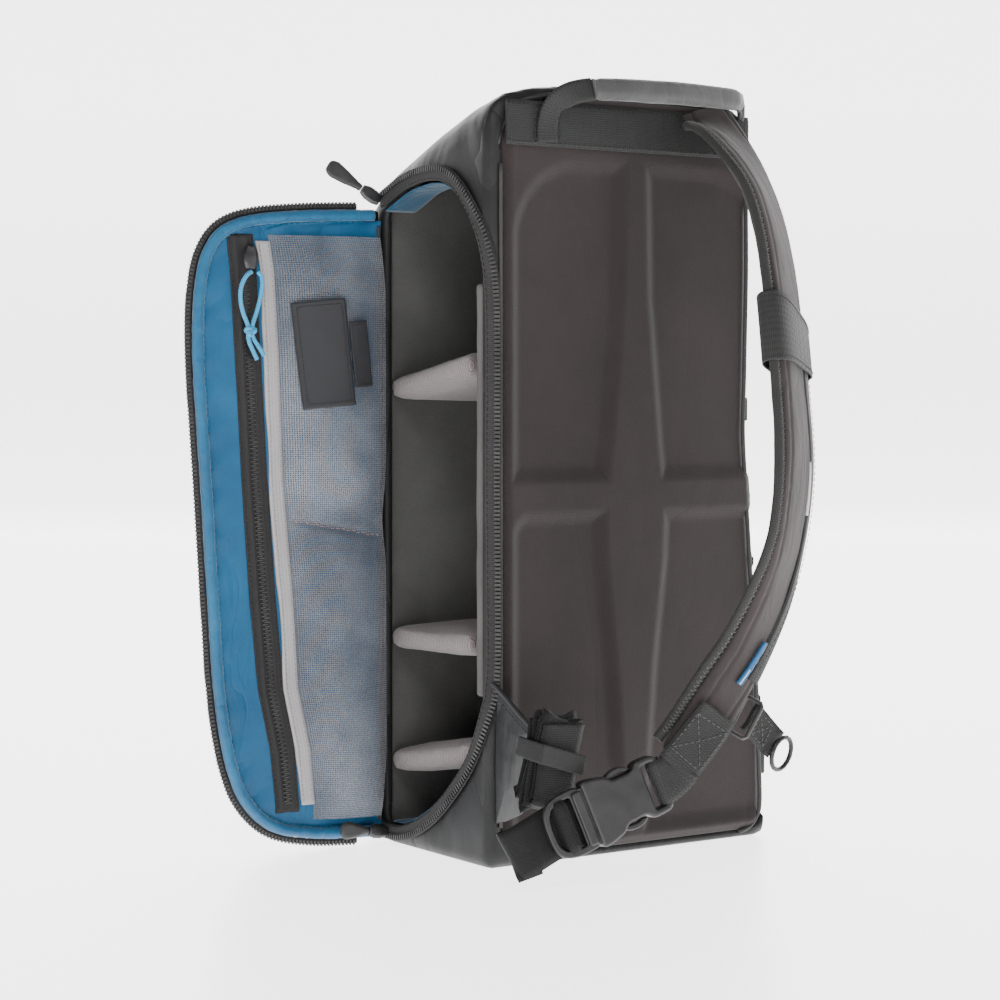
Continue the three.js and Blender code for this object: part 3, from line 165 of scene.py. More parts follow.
def wire(tree, kind, links=(), **settings):
    """A node with its settings, and links given as (input, source socket or value)."""
    node = tree.nodes.new(kind)
    for key, value in settings.items():
        setattr(node, key, value)
    for socket, source in links:
        if isinstance(source, bpy.types.NodeSocket):
            tree.links.new(source, node.inputs[socket])
        else:
            node.inputs[socket].default_value = source
    return node


def maths(tree, operation, first, second=0.0, third=0.0):
    node = wire(tree, "ShaderNodeMath", [(0, first), (1, second), (2, third)], operation=operation)
    return node.outputs[0]


# Braid: crossing strands of a round cord, from its own coordinates along and round.
FLOAT, VECTOR = "NodeSocketFloat", "NodeSocketVector"
cord_braid, start, end = new_group(
    "cord_braid", [("Place", VECTOR, None), ("Pitch", FLOAT, 0.0016)],
    [("Height", FLOAT), ("Tint", FLOAT)])
split = wire(cord_braid, "ShaderNodeSeparateXYZ", [(0, start.outputs["Place"])])
turns = [maths(cord_braid, "DIVIDE", split.outputs[k], start.outputs["Pitch"]) for k in range(3)]
diagonal = maths(cord_braid, "ADD", turns[0], turns[2])
counter = maths(cord_braid, "SUBTRACT", turns[2], turns[0])
left_hand = maths(cord_braid, "SINE", maths(cord_braid, "MULTIPLY", diagonal, math.tau))
right_hand = maths(cord_braid, "SINE", maths(cord_braid, "MULTIPLY", counter, math.tau))
strands = maths(cord_braid, "MAXIMUM", left_hand, right_hand)
cord_braid.links.new(maths(cord_braid, "MULTIPLY_ADD", strands, 0.5, 0.5), end.inputs["Height"])
# The tint follows the strands' height, darker in the gaps between them: painted shade.
cord_braid.links.new(maths(cord_braid, "MULTIPLY_ADD", strands, 0.25, 0.75), end.inputs["Tint"])

# Soil and fading: a slow mottling that every cloth and moulding carries a little of.
slow_wear, start, end = new_group(
    "slow_wear", [("Place", VECTOR, None), ("Size", FLOAT, 18.0), ("Amount", FLOAT, 0.3)],
    [("Mask", FLOAT), ("Fine", FLOAT)])
mottle = wire(slow_wear, "ShaderNodeTexNoise",
              [("Vector", start.outputs["Place"]), ("Scale", start.outputs["Size"]),
               ("Detail", 4.0), ("Roughness", 0.62)])
specks = wire(slow_wear, "ShaderNodeTexNoise",
              [("Vector", start.outputs["Place"]), ("Scale", 900.0), ("Detail", 2.0)])
spread = wire(slow_wear, "ShaderNodeMapRange",
              [("Value", mottle.outputs["Fac"]), ("From Min", 0.38), ("From Max", 0.68)])
slow_wear.links.new(maths(slow_wear, "MULTIPLY", spread.outputs[0], start.outputs["Amount"]),
                    end.inputs["Mask"])
slow_wear.links.new(specks.outputs["Fac"], end.inputs["Fine"])


def open_material(name, rough, **shader_values):
    """A material with object coordinates ready, and constants set on its shader."""
    made = bpy.data.materials.new(name)
    made.use_nodes = True
    tree = made.node_tree
    shader = tree.nodes["Principled BSDF"]
    shader.inputs["Roughness"].default_value = rough
    for key, value in shader_values.items():
        shader.inputs[key.replace("_", " ")].default_value = value
    place = tree.nodes.new("ShaderNodeTexCoord")
    return made, tree, shader, place


def tinted(tree, shader, dark, light, mask):
    """Base colour between two colours by a mask that changes over the surface."""
    blend = wire(tree, "ShaderNodeMix", [(0, mask), (6, (*dark, 1)), (7, (*light, 1))],
                 data_type="RGBA")
    tree.links.new(blend.outputs[2], shader.inputs["Base Color"])
    return blend


def bumped(tree, shader, height, distance, strength=1.0, under=None):
    links = [("Height", height), ("Distance", distance), ("Strength", strength)]
    if under is not None:
        links.append(("Normal", under))
    bump = wire(tree, "ShaderNodeBump", links)
    tree.links.new(bump.outputs[0], shader.inputs["Normal"])
    return bump.outputs[0]


blue_cord, tree, shader, place = open_material("blue_cord", 0.6, Sheen_Weight=0.3)
braid = wire(tree, "ShaderNodeGroup", node_tree=cord_braid)
tree.links.new(place.outputs["Object"], braid.inputs["Place"])
tinted(tree, shader, (0.004, 0.16, 0.34), (0.016, 0.36, 0.66), braid.outputs["Tint"])
bumped(tree, shader, braid.outputs["Height"], 0.0003)

cord_width = 0.0026
pull_runs = {
    "pull_cord_near": (("pull_cord_left", "pull_tail_left"), [
        (-0.18749, 0.03805, 0.33719), (-0.19077, 0.03767, 0.33529), (-0.19391, 0.03829, 0.32929),
        (-0.19423, 0.03894, 0.32129), (-0.19239, 0.03910, 0.31329), (-0.18991, 0.03877, 0.30739),
        (-0.18930, 0.03850, 0.30330), (-0.18952, 0.03872, 0.29919), (-0.18806, 0.03833, 0.29479),
        (-0.18597, 0.03805, 0.29059), (-0.18416, 0.03802, 0.28699)]),
    "pull_cord_far": (("pull_cord_right", "pull_tail_right"), [
        (-0.18372, 0.03755, 0.33719), (-0.18184, 0.03650, 0.33499), (-0.18142, 0.03665, 0.32879),
        (-0.18253, 0.03740, 0.32109), (-0.18466, 0.03808, 0.31329), (-0.18674, 0.03836, 0.30739),
        (-0.18720, 0.03840, 0.30330), (-0.18635, 0.03830, 0.29919), (-0.18432, 0.03763, 0.29579),
        (-0.18216, 0.03715, 0.29239), (-0.18015, 0.03708, 0.28939)]),
}


def cord_curve(name, line, width, closed=False):
    curve = bpy.data.curves.new(name, "CURVE")
    curve.dimensions = "3D"
    curve.bevel_depth = width / 2
    curve.bevel_resolution = 3
    curve.use_fill_caps = not closed
    spline = curve.splines.new("POLY")
    spline.points.add(len(line) - 1)
    for spot, point in zip(spline.points, line):
        spot.co = (*point, 1)
    spline.use_cyclic_u = closed
    spline.use_smooth = True
    made = bpy.data.objects.new(name, curve)
    scene.collection.objects.link(made)
    return made


knot_centre = Vector((-0.18816, 0.03834, 0.30329))
knot_line = []
for step in range(48):
    turn = step / 48 * math.tau
    knot_line.append(knot_centre + Vector((
        (math.sin(turn) + 2 * math.sin(2 * turn)) * 0.00098,
        -math.sin(3 * turn) * 0.0013,
        (math.cos(turn) - 2 * math.cos(2 * turn)) * 0.00082)))
pull_knot_tied = cord_curve("pull_knot_tied", knot_line, 0.0024, closed=True)
pull_knot_tied.data.materials.append(blue_cord)
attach(pull_knot_tied, "root")
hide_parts("pull_knot")
for run_name, (run_nodes, run_points) in pull_runs.items():
    run_line = smooth_line(run_points, 0.0021)
    pull_run = cord_curve(run_name, run_line, cord_width)
    pull_run.data.materials.append(blue_cord)
    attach(pull_run, "root")
    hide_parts(*run_nodes)

# Body shell: coated nylon over thin foam, sewn in one upright tube with a rounded
# top. The outside is smooth with soft dents, the inside is a dark brushed lining.


def soft_copy(node, name, voxel, rounds):
    """A copy of a CAD node's mesh, welded, remeshed evenly and relaxed."""
    made = bpy.data.objects.new(name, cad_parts[node].data.copy())
    scene.collection.objects.link(made)
    weld = made.modifiers.new("weld", "WELD")
    weld.merge_threshold = 0.00002
    even = made.modifiers.new("even", "REMESH")
    even.mode = "VOXEL"
    even.voxel_size = voxel
    relax = made.modifiers.new("relax", "SMOOTH")
    relax.factor = 0.5
    relax.iterations = rounds
    settle(made)
    made.data.shade_smooth()
    made.data.materials.clear()
    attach(made, "root")
    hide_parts(node)
    return made


def settle(made):
    """Turns a piece's modifiers into its own mesh."""
    graph = bpy.context.evaluated_depsgraph_get()
    graph.update()
    mesh = bpy.data.meshes.new_from_object(made.evaluated_get(graph))
    made.modifiers.clear()
    made.data = mesh


def mesh_points(made):
    points = np.empty(len(made.data.vertices) * 3)
    made.data.vertices.foreach_get("co", points)
    normals = np.empty(len(made.data.vertices) * 3)
    made.data.vertices.foreach_get("normal", normals)
    return points.reshape(-1, 3), normals.reshape(-1, 3)


def press(made, depth_at):
    """Moves each point along its normal by what depth_at gives for all points at once."""
    points, normals = mesh_points(made)
    moved = points + normals * depth_at(points, normals)[:, None]
    made.data.vertices.foreach_set("co", moved.ravel())
    made.data.update()


def rumple(points, size, seed):
    """Soft noise from -1 to 1 at each point."""
    shift = Vector((seed * 7.1, seed * 3.7, seed * 5.3))
    return np.array([noise.noise(Vector(p) / size + shift) for p in points])


def ramp(values, low, high):
    share = np.clip((values - low) / (high - low), 0, 1)
    return share * share * (3 - 2 * share)


# Fine cloth: crossed yarns seen from any side, from the object's own coordinates.
fine_cloth, start, end = new_group(
    "fine_cloth", [("Place", VECTOR, None), ("Pitch", FLOAT, 0.0008)],
    [("Height", FLOAT), ("Tint", FLOAT)])
split = wire(fine_cloth, "ShaderNodeSeparateXYZ", [(0, start.outputs["Place"])])
yarns = []
for axis in range(3):
    turn = maths(fine_cloth, "DIVIDE", split.outputs[axis], start.outputs["Pitch"])
    yarns.append(maths(fine_cloth, "SINE", maths(fine_cloth, "MULTIPLY", turn, math.tau)))
crossed = maths(fine_cloth, "ADD", maths(fine_cloth, "ADD", yarns[0], yarns[1]), yarns[2])
slub = wire(fine_cloth, "ShaderNodeTexNoise",
            [("Vector", start.outputs["Place"]), ("Scale", 760.0), ("Detail", 3.0), ("Roughness", 0.7)])
uneven = maths(fine_cloth, "MULTIPLY_ADD", crossed, 0.05, slub.outputs["Fac"])
fine_cloth.links.new(uneven, end.inputs["Height"])
fine_cloth.links.new(slub.outputs["Fac"], end.inputs["Tint"])

# Creases: long shallow folds that stretch down the cloth, with finer ones between.
cloth_creases, start, end = new_group(
    "cloth_creases", [("Place", VECTOR, None), ("Size", FLOAT, 14.0)], [("Height", FLOAT)])
stretched = wire(cloth_creases, "ShaderNodeMapping",
                 [("Vector", start.outputs["Place"]), ("Scale", (1.0, 1.0, 0.45))])
folds = wire(cloth_creases, "ShaderNodeTexNoise",
             [("Vector", stretched.outputs[0]), ("Scale", start.outputs["Size"]), ("Detail", 3.0),
              ("Distortion", 0.9)])
ridge = maths(cloth_creases, "ABSOLUTE", maths(cloth_creases, "SUBTRACT", folds.outputs["Fac"], 0.5))
cloth_creases.links.new(maths(cloth_creases, "POWER", ridge, 0.7), end.inputs["Height"])


def cloth_finish(name, dark, light, rough, pitch, depth, crease=0.0, crease_size=14.0, wear=0.6,
                 **shader_values):
    """A woven or knitted cloth: yarn bump, mottled colour and soft creases."""
    made, tree, shader, place = open_material(name, rough, **shader_values)
    shader.inputs["Specular IOR Level"].default_value = 0.25
    spot = place.outputs["Object"]
    yarn = wire(tree, "ShaderNodeGroup", node_tree=fine_cloth)
    tree.links.new(spot, yarn.inputs["Place"])
    yarn.inputs["Pitch"].default_value = pitch
    soil = wire(tree, "ShaderNodeGroup", node_tree=slow_wear)
    tree.links.new(spot, soil.inputs["Place"])
    soil.inputs["Amount"].default_value = wear
    shade = maths(tree, "ADD", maths(tree, "MULTIPLY", yarn.outputs["Tint"], 0.55), soil.outputs["Mask"])
    tinted(tree, shader, dark, light, maths(tree, "MULTIPLY", shade, 0.8))
    gloss = maths(tree, "MULTIPLY_ADD", soil.outputs["Mask"], 0.14, rough - 0.05)
    tree.links.new(gloss, shader.inputs["Roughness"])
    under = None
    if crease:
        wrinkle = wire(tree, "ShaderNodeGroup", node_tree=cloth_creases)
        tree.links.new(spot, wrinkle.inputs["Place"])
        wrinkle.inputs["Size"].default_value = crease_size
        under = wire(tree, "ShaderNodeBump",
                     [("Height", wrinkle.outputs["Height"]), ("Distance", crease)]).outputs[0]
    bumped(tree, shader, yarn.outputs["Height"], depth, under=under)
    return made


coated_cloth = cloth_finish("coated_cloth", (0.009, 0.0091, 0.0093), (0.020, 0.0202, 0.0206), 0.5,
                            0.0009, 0.00012, crease=0.0035, crease_size=16.0,
                            Coat_Weight=0.05, Coat_Roughness=0.5)
dark_lining = cloth_finish("dark_lining", (0.006, 0.006, 0.0064), (0.013, 0.0126, 0.013), 0.85,
                           0.0012, 0.0002, crease=0.003, crease_size=11.0)

shell_cloth = soft_copy("shell_body", "shell_cloth", 0.003, 3)


def shell_dents(points, normals):
    grounded = ramp(points[:, 2], 0.004, 0.05)
    rim = ramp(np.abs(points[:, 1] + 0.08), 0.006, 0.03)
    near_door = (points[:, 0] < -0.09) & (points[:, 1] < 0.045) & (points[:, 1] > -0.08)
    outside = (normals * (points - np.array([0, -0.01, 0.21]))).sum(1) > 0
    calm = np.where(near_door, 0.25, 1.0) * grounded * rim * np.where(outside, 1.0, 0.3)
    slow = rumple(points, 0.075, 1) * 0.0016
    quick = rumple(points * np.array([1, 1, 0.6]), 0.022, 2) * 0.0004
    return (slow + quick - 0.0004) * calm


press(shell_cloth, shell_dents)
shell_cloth.data.materials.append(coated_cloth)
shell_cloth.data.materials.append(dark_lining)
for face in shell_cloth.data.polygons:
    inward = Vector((0, -0.01, 0.21)) - face.center
    inside = abs(face.center.x) < 0.0985 and face.center.y > -0.072
    face.material_index = 1 if inside and face.normal.dot(inward) > 0 and face.center.z > 0.003 else 0

# Harness panel: dark knit over moulded foam, pressed into four sunk pads behind a
# border and a cross. A thin pale piping runs down its door side.
panel_back, panel_front = -0.071, -0.0797
panel_foot, panel_top = 0.0052, 0.4228
body_width, body_height = 0.204, 0.430
waist_rows = [(0.0, 0.0), (0.12, 0.05), (0.25, 0.25), (0.40, 0.62), (0.56, 1.0), (0.66, 0.93),
              (0.80, 0.85), (1.05, 0.95)]
cross_rows = [(0.0, 0.047), (0.10, 0.053), (0.25, 0.078), (0.40, 0.115), (0.48, 0.120),
              (0.55, 0.098), (0.75, 0.058), (1.0, 0.047)]
pad_rows = [(0.514, 0.921, 0.21), (0.034, 0.458, 0.05)]


def along_rows(rows, values):
    return np.interp(values, [row[0] for row in rows], [row[1] for row in rows])


def panel_side(z):
    """The panel's right edge at a height, drawn in at the bag's waist."""
    return 0.1002 - 0.014 * along_rows(waist_rows, z / body_height)


def panel_sink(x, z):
    """How far the face sinks, from 0 on the border and the cross to 1 in the pads."""
    soft = 0.0052
    cross = along_rows(cross_rows, z / body_height) * body_width
    side = np.where(x < 0, 0.0836, 0.102 - 0.014 * along_rows(waist_rows, z / body_height) * 0.55)
    out, width = np.abs(x) - cross, side - cross
    deepest = np.zeros_like(x)
    for low, high, corner_share in pad_rows:
        corner = corner_share * body_width
        z_low, z_high = low * body_height, high * body_height
        edge = np.minimum.reduce([out, width - out, z - z_low, z_high - z])
        past = np.hypot(np.maximum(out - width + corner, 0), np.maximum(z - z_high + corner, 0))
        rounded = np.where((out > width - corner) & (z > z_high - corner), corner - past, 1.0)
        deepest = np.maximum(deepest, ramp(np.minimum(edge, rounded), -soft, soft))
    return deepest


panel_columns, panel_rows = 150, 300
share_x = np.linspace(0, 1, panel_columns)
share_z = np.linspace(0, 1, panel_rows)
grid_x = np.empty((panel_rows, panel_columns))
grid_z = np.empty_like(grid_x)
for row, share in enumerate(share_z):
    z = panel_foot + (panel_top - panel_foot) * share
    foot_round = 0.016 * (1 - math.sqrt(max(0.0, 1 - max(0.0, 1 - (z - panel_foot) / 0.016) ** 2)))
    top_round = 0.016 * (1 - math.sqrt(max(0.0, 1 - max(0.0, 1 - (panel_top - z) / 0.016) ** 2)))
    pull_in = max(foot_round, top_round)
    left_edge, right_edge = -0.0926 + pull_in, float(panel_side(z)) - pull_in
    grid_x[row] = left_edge + (right_edge - left_edge) * share_x
    crown = 1 - np.abs((grid_x[row] - 0.004) / 0.0965) ** 4
    grid_z[row] = z + 0.0118 * crown * ramp(np.array([z]), 0.34, panel_top)
sink = panel_sink(grid_x, grid_z)
border = np.minimum.reduce([grid_x - grid_x[:, :1], grid_x[:, -1:] - grid_x, grid_z - panel_foot])
rolled = (1 - ramp(border, -0.001, 0.006)) * 0.004
flat_spots = np.stack([grid_x.ravel(), np.zeros(grid_x.size), grid_z.ravel()], 1)
dimple = rumple(flat_spots, 0.05, 4).reshape(sink.shape) * 0.0004 * sink
grid_y = panel_front + sink * 0.0045 + rolled + dimple
panel_mesh = bpy.data.meshes.new("harness_knit")
face_verts = np.stack([grid_x, grid_y, grid_z], -1).reshape(-1, 3)
back_verts = face_verts.copy()
back_verts[:, 1] = panel_back
quads = []
count = panel_rows * panel_columns
for r in range(panel_rows - 1):
    for c in range(panel_columns - 1):
        a = r * panel_columns + c
        quads.append((a, a + 1, a + panel_columns + 1, a + panel_columns))
rim_path = ([c for c in range(panel_columns)]
            + [r * panel_columns + panel_columns - 1 for r in range(1, panel_rows)]
            + [count - 1 - c for c in range(1, panel_columns)]
            + [r * panel_columns for r in range(panel_rows - 2, 0, -1)])
for k, a in enumerate(rim_path):
    b = rim_path[(k + 1) % len(rim_path)]
    quads.append((b, a, a + count, b + count))
panel_mesh.from_pydata(np.concatenate([face_verts, back_verts]).tolist(), [], quads)
panel_mesh.shade_smooth()
harness_knit = bpy.data.objects.new("harness_knit", panel_mesh)
scene.collection.objects.link(harness_knit)

harness_cloth = cloth_finish("harness_cloth", (0.016, 0.0112, 0.0112), (0.032, 0.0228, 0.0228), 0.88,
                             0.0011, 0.00022, crease=0.0012, crease_size=9.0, wear=0.5,
                             Sheen_Weight=0.12, Sheen_Roughness=0.6)
panel_mesh.materials.append(harness_cloth)
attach(harness_knit, "root")
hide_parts("back_panel")


def swept_tube(name, line, radius, finish, sides=8, closed=False, flat=1.0, facing=None):
    """A tube mesh along a line, with UVs along and round it in metres."""
    builder = bmesh.new()
    layer = builder.loops.layers.uv.new("run")
    rings, walked = [], [0.0]
    total = len(line)
    for k in range(1, total):
        walked.append(walked[-1] + (line[k] - line[k - 1]).length)
    side_way = None
    for k, point in enumerate(line):
        before = line[k - 1] if k or closed else line[0]
        after = line[(k + 1) % total] if k < total - 1 or closed else line[-1]
        along = (after - before).normalized()
        if facing is not None:
            up = (facing[k] if isinstance(facing, list) else facing).normalized()
            side_way = up.cross(along).normalized()
        elif side_way is None:
            side_way = along.orthogonal().normalized()
        side_way = (side_way - along * side_way.dot(along)).normalized()
        up = along.cross(side_way).normalized()
        ring = []
        for s in range(sides):
            turn = (s + 0.5) / sides * math.tau
            spot = point + side_way * math.cos(turn) * radius + up * math.sin(turn) * radius * flat
            ring.append(builder.verts.new(spot))
        rings.append(ring)
    spans = total if closed else total - 1
    for k in range(spans):
        ring, ahead = rings[k], rings[(k + 1) % total]
        end_walk = walked[k + 1] if k + 1 < total else walked[-1] + (line[0] - line[-1]).length
        for s in range(sides):
            t = (s + 1) % sides
            face = builder.faces.new((ring[s], ring[t], ahead[t], ahead[s]))
            face.smooth = True
            corners = ((walked[k], s), (walked[k], s + 1), (end_walk, s + 1), (end_walk, s))
            for loop, (run, step) in zip(face.loops, corners):
                loop[layer].uv = (run, step / sides * math.tau * radius)
    if not closed:
        builder.faces.new(list(reversed(rings[0])))
        builder.faces.new(rings[-1])
    mesh = bpy.data.meshes.new(name)
    builder.normal_update()
    builder.to_mesh(mesh)
    builder.free()
    mesh.materials.append(finish)
    made = bpy.data.objects.new(name, mesh)
    scene.collection.objects.link(made)
    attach(made, "root")
    return made


piping_cloth = cloth_finish("piping_cloth", (0.030, 0.027, 0.027), (0.060, 0.055, 0.054), 0.7,
                            0.0007, 0.0001)
seam_piping = cloth_finish("seam_piping", (0.03, 0.03, 0.031), (0.06, 0.06, 0.061), 0.6,
                           0.0007, 0.0001)
panel_pipe_line = [Vector((-0.0948, -0.0795, z)) for z in np.linspace(0.024, 0.395, 60)]
panel_piping = swept_tube("panel_piping", panel_pipe_line, 0.0011, piping_cloth)
edge_points = [(0.0806, 0.004), (0.0890, 0.0063), (0.0948, 0.013), (0.0968, 0.022)]
edge_points += [(float(panel_side(z)) - 0.0040, z) for z in np.linspace(0.05, 0.405, 12)]
edge_points += [(0.0848, 0.416), (0.0795, 0.4262), (0.0735, 0.4318), (0.060, 0.4355), (0.040, 0.438),
                (0.018, 0.4388), (-0.0126, 0.4388), (-0.0373, 0.438), (-0.0604, 0.4355),
                (-0.0795, 0.4308), (-0.0868, 0.4255), (-0.0922, 0.417), (-0.0955, 0.406)]
edge_line = smooth_line([(x, -0.0772, z) for x, z in edge_points], 0.004)
shell_piping = swept_tube("shell_piping", edge_line, 0.0013, seam_piping)

# Top band and grab handle: ribbed webbing sewn flat across the panel's top with box
# stitches, and a folded web that carries a sleeve of brushed cloth.


def framed_ribbon(name, stations, width, thickness, finish, nodes=(), closed_edges=0.0004,
                  layer_name="run", taper=None):
    """A woven ribbon through (point, across) stations, with UVs in metres along and across."""
    builder = bmesh.new()
    layer = builder.loops.layers.uv.new(layer_name)
    total = len(stations)
    columns = 9
    walked = [0.0]
    for k in range(1, total):
        walked.append(walked[-1] + (stations[k][0] - stations[k - 1][0]).length)
    rings = []
    for k, (point, across) in enumerate(stations):
        along = (stations[min(k + 1, total - 1)][0] - stations[max(k - 1, 0)][0]).normalized()
        across = (across - along * across.dot(along)).normalized()
        up = along.cross(across).normalized()
        wide = width * (taper[k] if taper else 1.0)
        upper, lower = [], []
        for c in range(columns):
            share = c / (columns - 1) - 0.5
            edge = max(0.0, abs(share) * 2 - 0.8) / 0.2
            lift = thickness / 2 * (1 - 0.75 * edge ** 2)
            spot = point + across * share * wide
            upper.append((builder.verts.new(spot + up * lift), share * wide))
            lower.append((builder.verts.new(spot - up * lift), share * wide))
        rings.append(upper + lower[::-1])
    size = columns * 2
    for k in range(total - 1):
        for s in range(size):
            t = (s + 1) % size
            face = builder.faces.new((rings[k][s][0], rings[k + 1][s][0], rings[k + 1][t][0], rings[k][t][0]))
            face.smooth = s not in (columns - 1, size - 1)
            corners = ((k, s), (k + 1, s), (k + 1, t), (k, t))
            for loop, (step, column) in zip(face.loops, corners):
                loop[layer].uv = (walked[step], rings[step][column][1])
    builder.faces.new([v for v, _ in rings[0]])
    builder.faces.new([v for v, _ in reversed(rings[-1])])
    mesh = bpy.data.meshes.new(name)
    bmesh.ops.recalc_face_normals(builder, faces=builder.faces)
    builder.to_mesh(mesh)
    builder.free()
    mesh.materials.append(finish)
    made = bpy.data.objects.new(name, mesh)
    scene.collection.objects.link(made)
    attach(made, "root")
    if nodes:
        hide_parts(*nodes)
    return made


def even_stations(rows, spacing):
    """Stations every few millimetres through rows of point and across."""
    line = smooth_line([row[0] for row in rows], spacing)
    turns = smooth_line([Vector(row[0]) + Vector(row[1]) * 0 for row in rows], spacing)
    walked, marks = 0.0, [0.0]
    for a, b in zip(rows, rows[1:]):
        walked += (Vector(b[0]) - Vector(a[0])).length
        marks.append(walked)
    length, runs = 0.0, [0.0]
    for a, b in zip(turns, turns[1:]):
        length += (b - a).length
        runs.append(length)
    made = []
    for point, run in zip(line, runs):
        place = run / length * walked
        span = next((k for k in range(len(marks) - 1) if marks[k + 1] >= place), len(marks) - 2)
        share = (place - marks[span]) / max(marks[span + 1] - marks[span], 1e-9)
        across = Vector(rows[span][1]).lerp(Vector(rows[span + 1][1]), min(max(share, 0), 1))
        made.append((point, across.normalized()))
    return made


# Webbing ribs: cords that run across the ribbon, broken along it by the warp.
webbing_ribs, start, end = new_group(
    "webbing_ribs", [("Run", VECTOR, None), ("Rib", FLOAT, 0.0016), ("Warp", FLOAT, 0.0011)],
    [("Height", FLOAT), ("Tint", FLOAT)])
split = wire(webbing_ribs, "ShaderNodeSeparateXYZ", [(0, start.outputs["Run"])])
across_turn = maths(webbing_ribs, "DIVIDE", split.outputs[1], start.outputs["Warp"])
along_turn = maths(webbing_ribs, "DIVIDE", split.outputs[0], start.outputs["Rib"])
zig = maths(webbing_ribs, "PINGPONG", across_turn, 1.0)
slanted = maths(webbing_ribs, "ADD", along_turn, maths(webbing_ribs, "MULTIPLY", zig, 0.5))
ribs = maths(webbing_ribs, "SINE", maths(webbing_ribs, "MULTIPLY", slanted, math.tau))
warps = maths(webbing_ribs, "SINE", maths(webbing_ribs, "MULTIPLY", across_turn, math.pi))
woven = maths(webbing_ribs, "MULTIPLY_ADD", maths(webbing_ribs, "ABSOLUTE", warps), 0.7,
              maths(webbing_ribs, "MULTIPLY", ribs, 0.5))
webbing_ribs.links.new(maths(webbing_ribs, "MULTIPLY_ADD", woven, 0.5, 0.3), end.inputs["Height"])
# The tint is the weave's height, darker down between ribs and warps: painted shade in the grooves.
webbing_ribs.links.new(maths(webbing_ribs, "MULTIPLY_ADD", woven, 0.4, 0.3), end.inputs["Tint"])


def webbing_finish(name, dark, light, rib=0.0016, warp=0.0013, depth=0.0003, rough=0.72):
    made, tree, shader, place = open_material(name, rough, Sheen_Weight=0.05)
    shader.inputs["Specular IOR Level"].default_value = 0.25
    run = wire(tree, "ShaderNodeUVMap", uv_map="run")
    weave = wire(tree, "ShaderNodeGroup", node_tree=webbing_ribs)
    tree.links.new(run.outputs[0], weave.inputs["Run"])
    weave.inputs["Rib"].default_value = rib
    weave.inputs["Warp"].default_value = warp
    soil = wire(tree, "ShaderNodeGroup", node_tree=slow_wear)
    tree.links.new(place.outputs["Object"], soil.inputs["Place"])
    soil.inputs["Size"].default_value = 30.0
    shade = maths(tree, "MULTIPLY_ADD", soil.outputs["Mask"], 0.5, weave.outputs["Tint"])
    tinted(tree, shader, dark, light, shade)
    tree.links.new(maths(tree, "MULTIPLY_ADD", soil.outputs["Mask"], 0.2, rough - 0.08),
                   shader.inputs["Roughness"])
    bumped(tree, shader, weave.outputs["Height"], depth)
    return made


grey_webbing = webbing_finish("grey_webbing", (0.009, 0.0092, 0.009), (0.034, 0.0352, 0.034))
black_webbing = webbing_finish("black_webbing", (0.0015, 0.0016, 0.0016), (0.008, 0.0083, 0.0081),
                               rib=0.0013, warp=0.0010)

band_rows = [(Vector((x, -0.08115, 0.4184)), Vector((0, 0, 1))) for x in np.linspace(-0.0924, 0.0816, 8)]
top_webbing = framed_ribbon("top_webbing", even_stations(band_rows, 0.003), 0.025, 0.0016,
                            grey_webbing, ("top_band",))

thread_dark = cloth_finish("thread_dark", (0.012, 0.012, 0.012), (0.035, 0.035, 0.035), 0.6,
                           0.0004, 0.00005)
thread_pale = cloth_finish("thread_pale", (0.06, 0.06, 0.06), (0.11, 0.11, 0.11), 0.6,
                           0.0004, 0.00005)


def stitch_rows(name, rows, finish, long=0.0026, gap=0.0009, thick=0.00032):
    """Sewn stitches: short rounded threads laid along rows of (line, outward normal)."""
    builder = bmesh.new()
    for line, up in rows:
        points = [Vector(p) for p in line]
        lengths = [0.0]
        for a, b in zip(points, points[1:]):
            lengths.append(lengths[-1] + (b - a).length)
        pitch = long + gap
        count = max(1, int((lengths[-1] + gap) / pitch))

        def at(run):
            run = min(max(run, 0), lengths[-1])
            k = next((i for i in range(len(lengths) - 1) if lengths[i + 1] >= run), len(lengths) - 2)
            share = (run - lengths[k]) / max(lengths[k + 1] - lengths[k], 1e-9)
            here = points[k].lerp(points[k + 1], share)
            out = up[k].lerp(up[k + 1], share) if isinstance(up, list) else up
            return here, out.normalized()

        for n in range(count):
            rings = []
            for share, fat in ((0.0, 0.45), (0.25, 0.95), (0.75, 0.95), (1.0, 0.45)):
                spot, out = at(n * pitch + share * long)
                ahead, _ = at(n * pitch + share * long + 0.0004)
                behind, _ = at(n * pitch + share * long - 0.0004)
                along = (ahead - behind).normalized()
                side = along.cross(out).normalized()
                lift = spot + out * thick * (0.35 if fat > 0.5 else -0.2)
                rings.append([builder.verts.new(lift + side * math.cos(t) * thick * fat
                                                + out * math.sin(t) * thick * fat * 0.8)
                              for t in (0.0, 1.257, 2.513, 3.77, 5.027)])
            for a, b in zip(rings, rings[1:]):
                for s in range(5):
                    builder.faces.new((a[s], a[(s + 1) % 5], b[(s + 1) % 5], b[s])).smooth = True
            builder.faces.new(rings[0][::-1])
            builder.faces.new(rings[-1])
    mesh = bpy.data.meshes.new(name)
    bmesh.ops.recalc_face_normals(builder, faces=builder.faces)
    builder.to_mesh(mesh)
    builder.free()
    mesh.materials.append(finish)
    made = bpy.data.objects.new(name, mesh)
    scene.collection.objects.link(made)
    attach(made, "root")
    return made


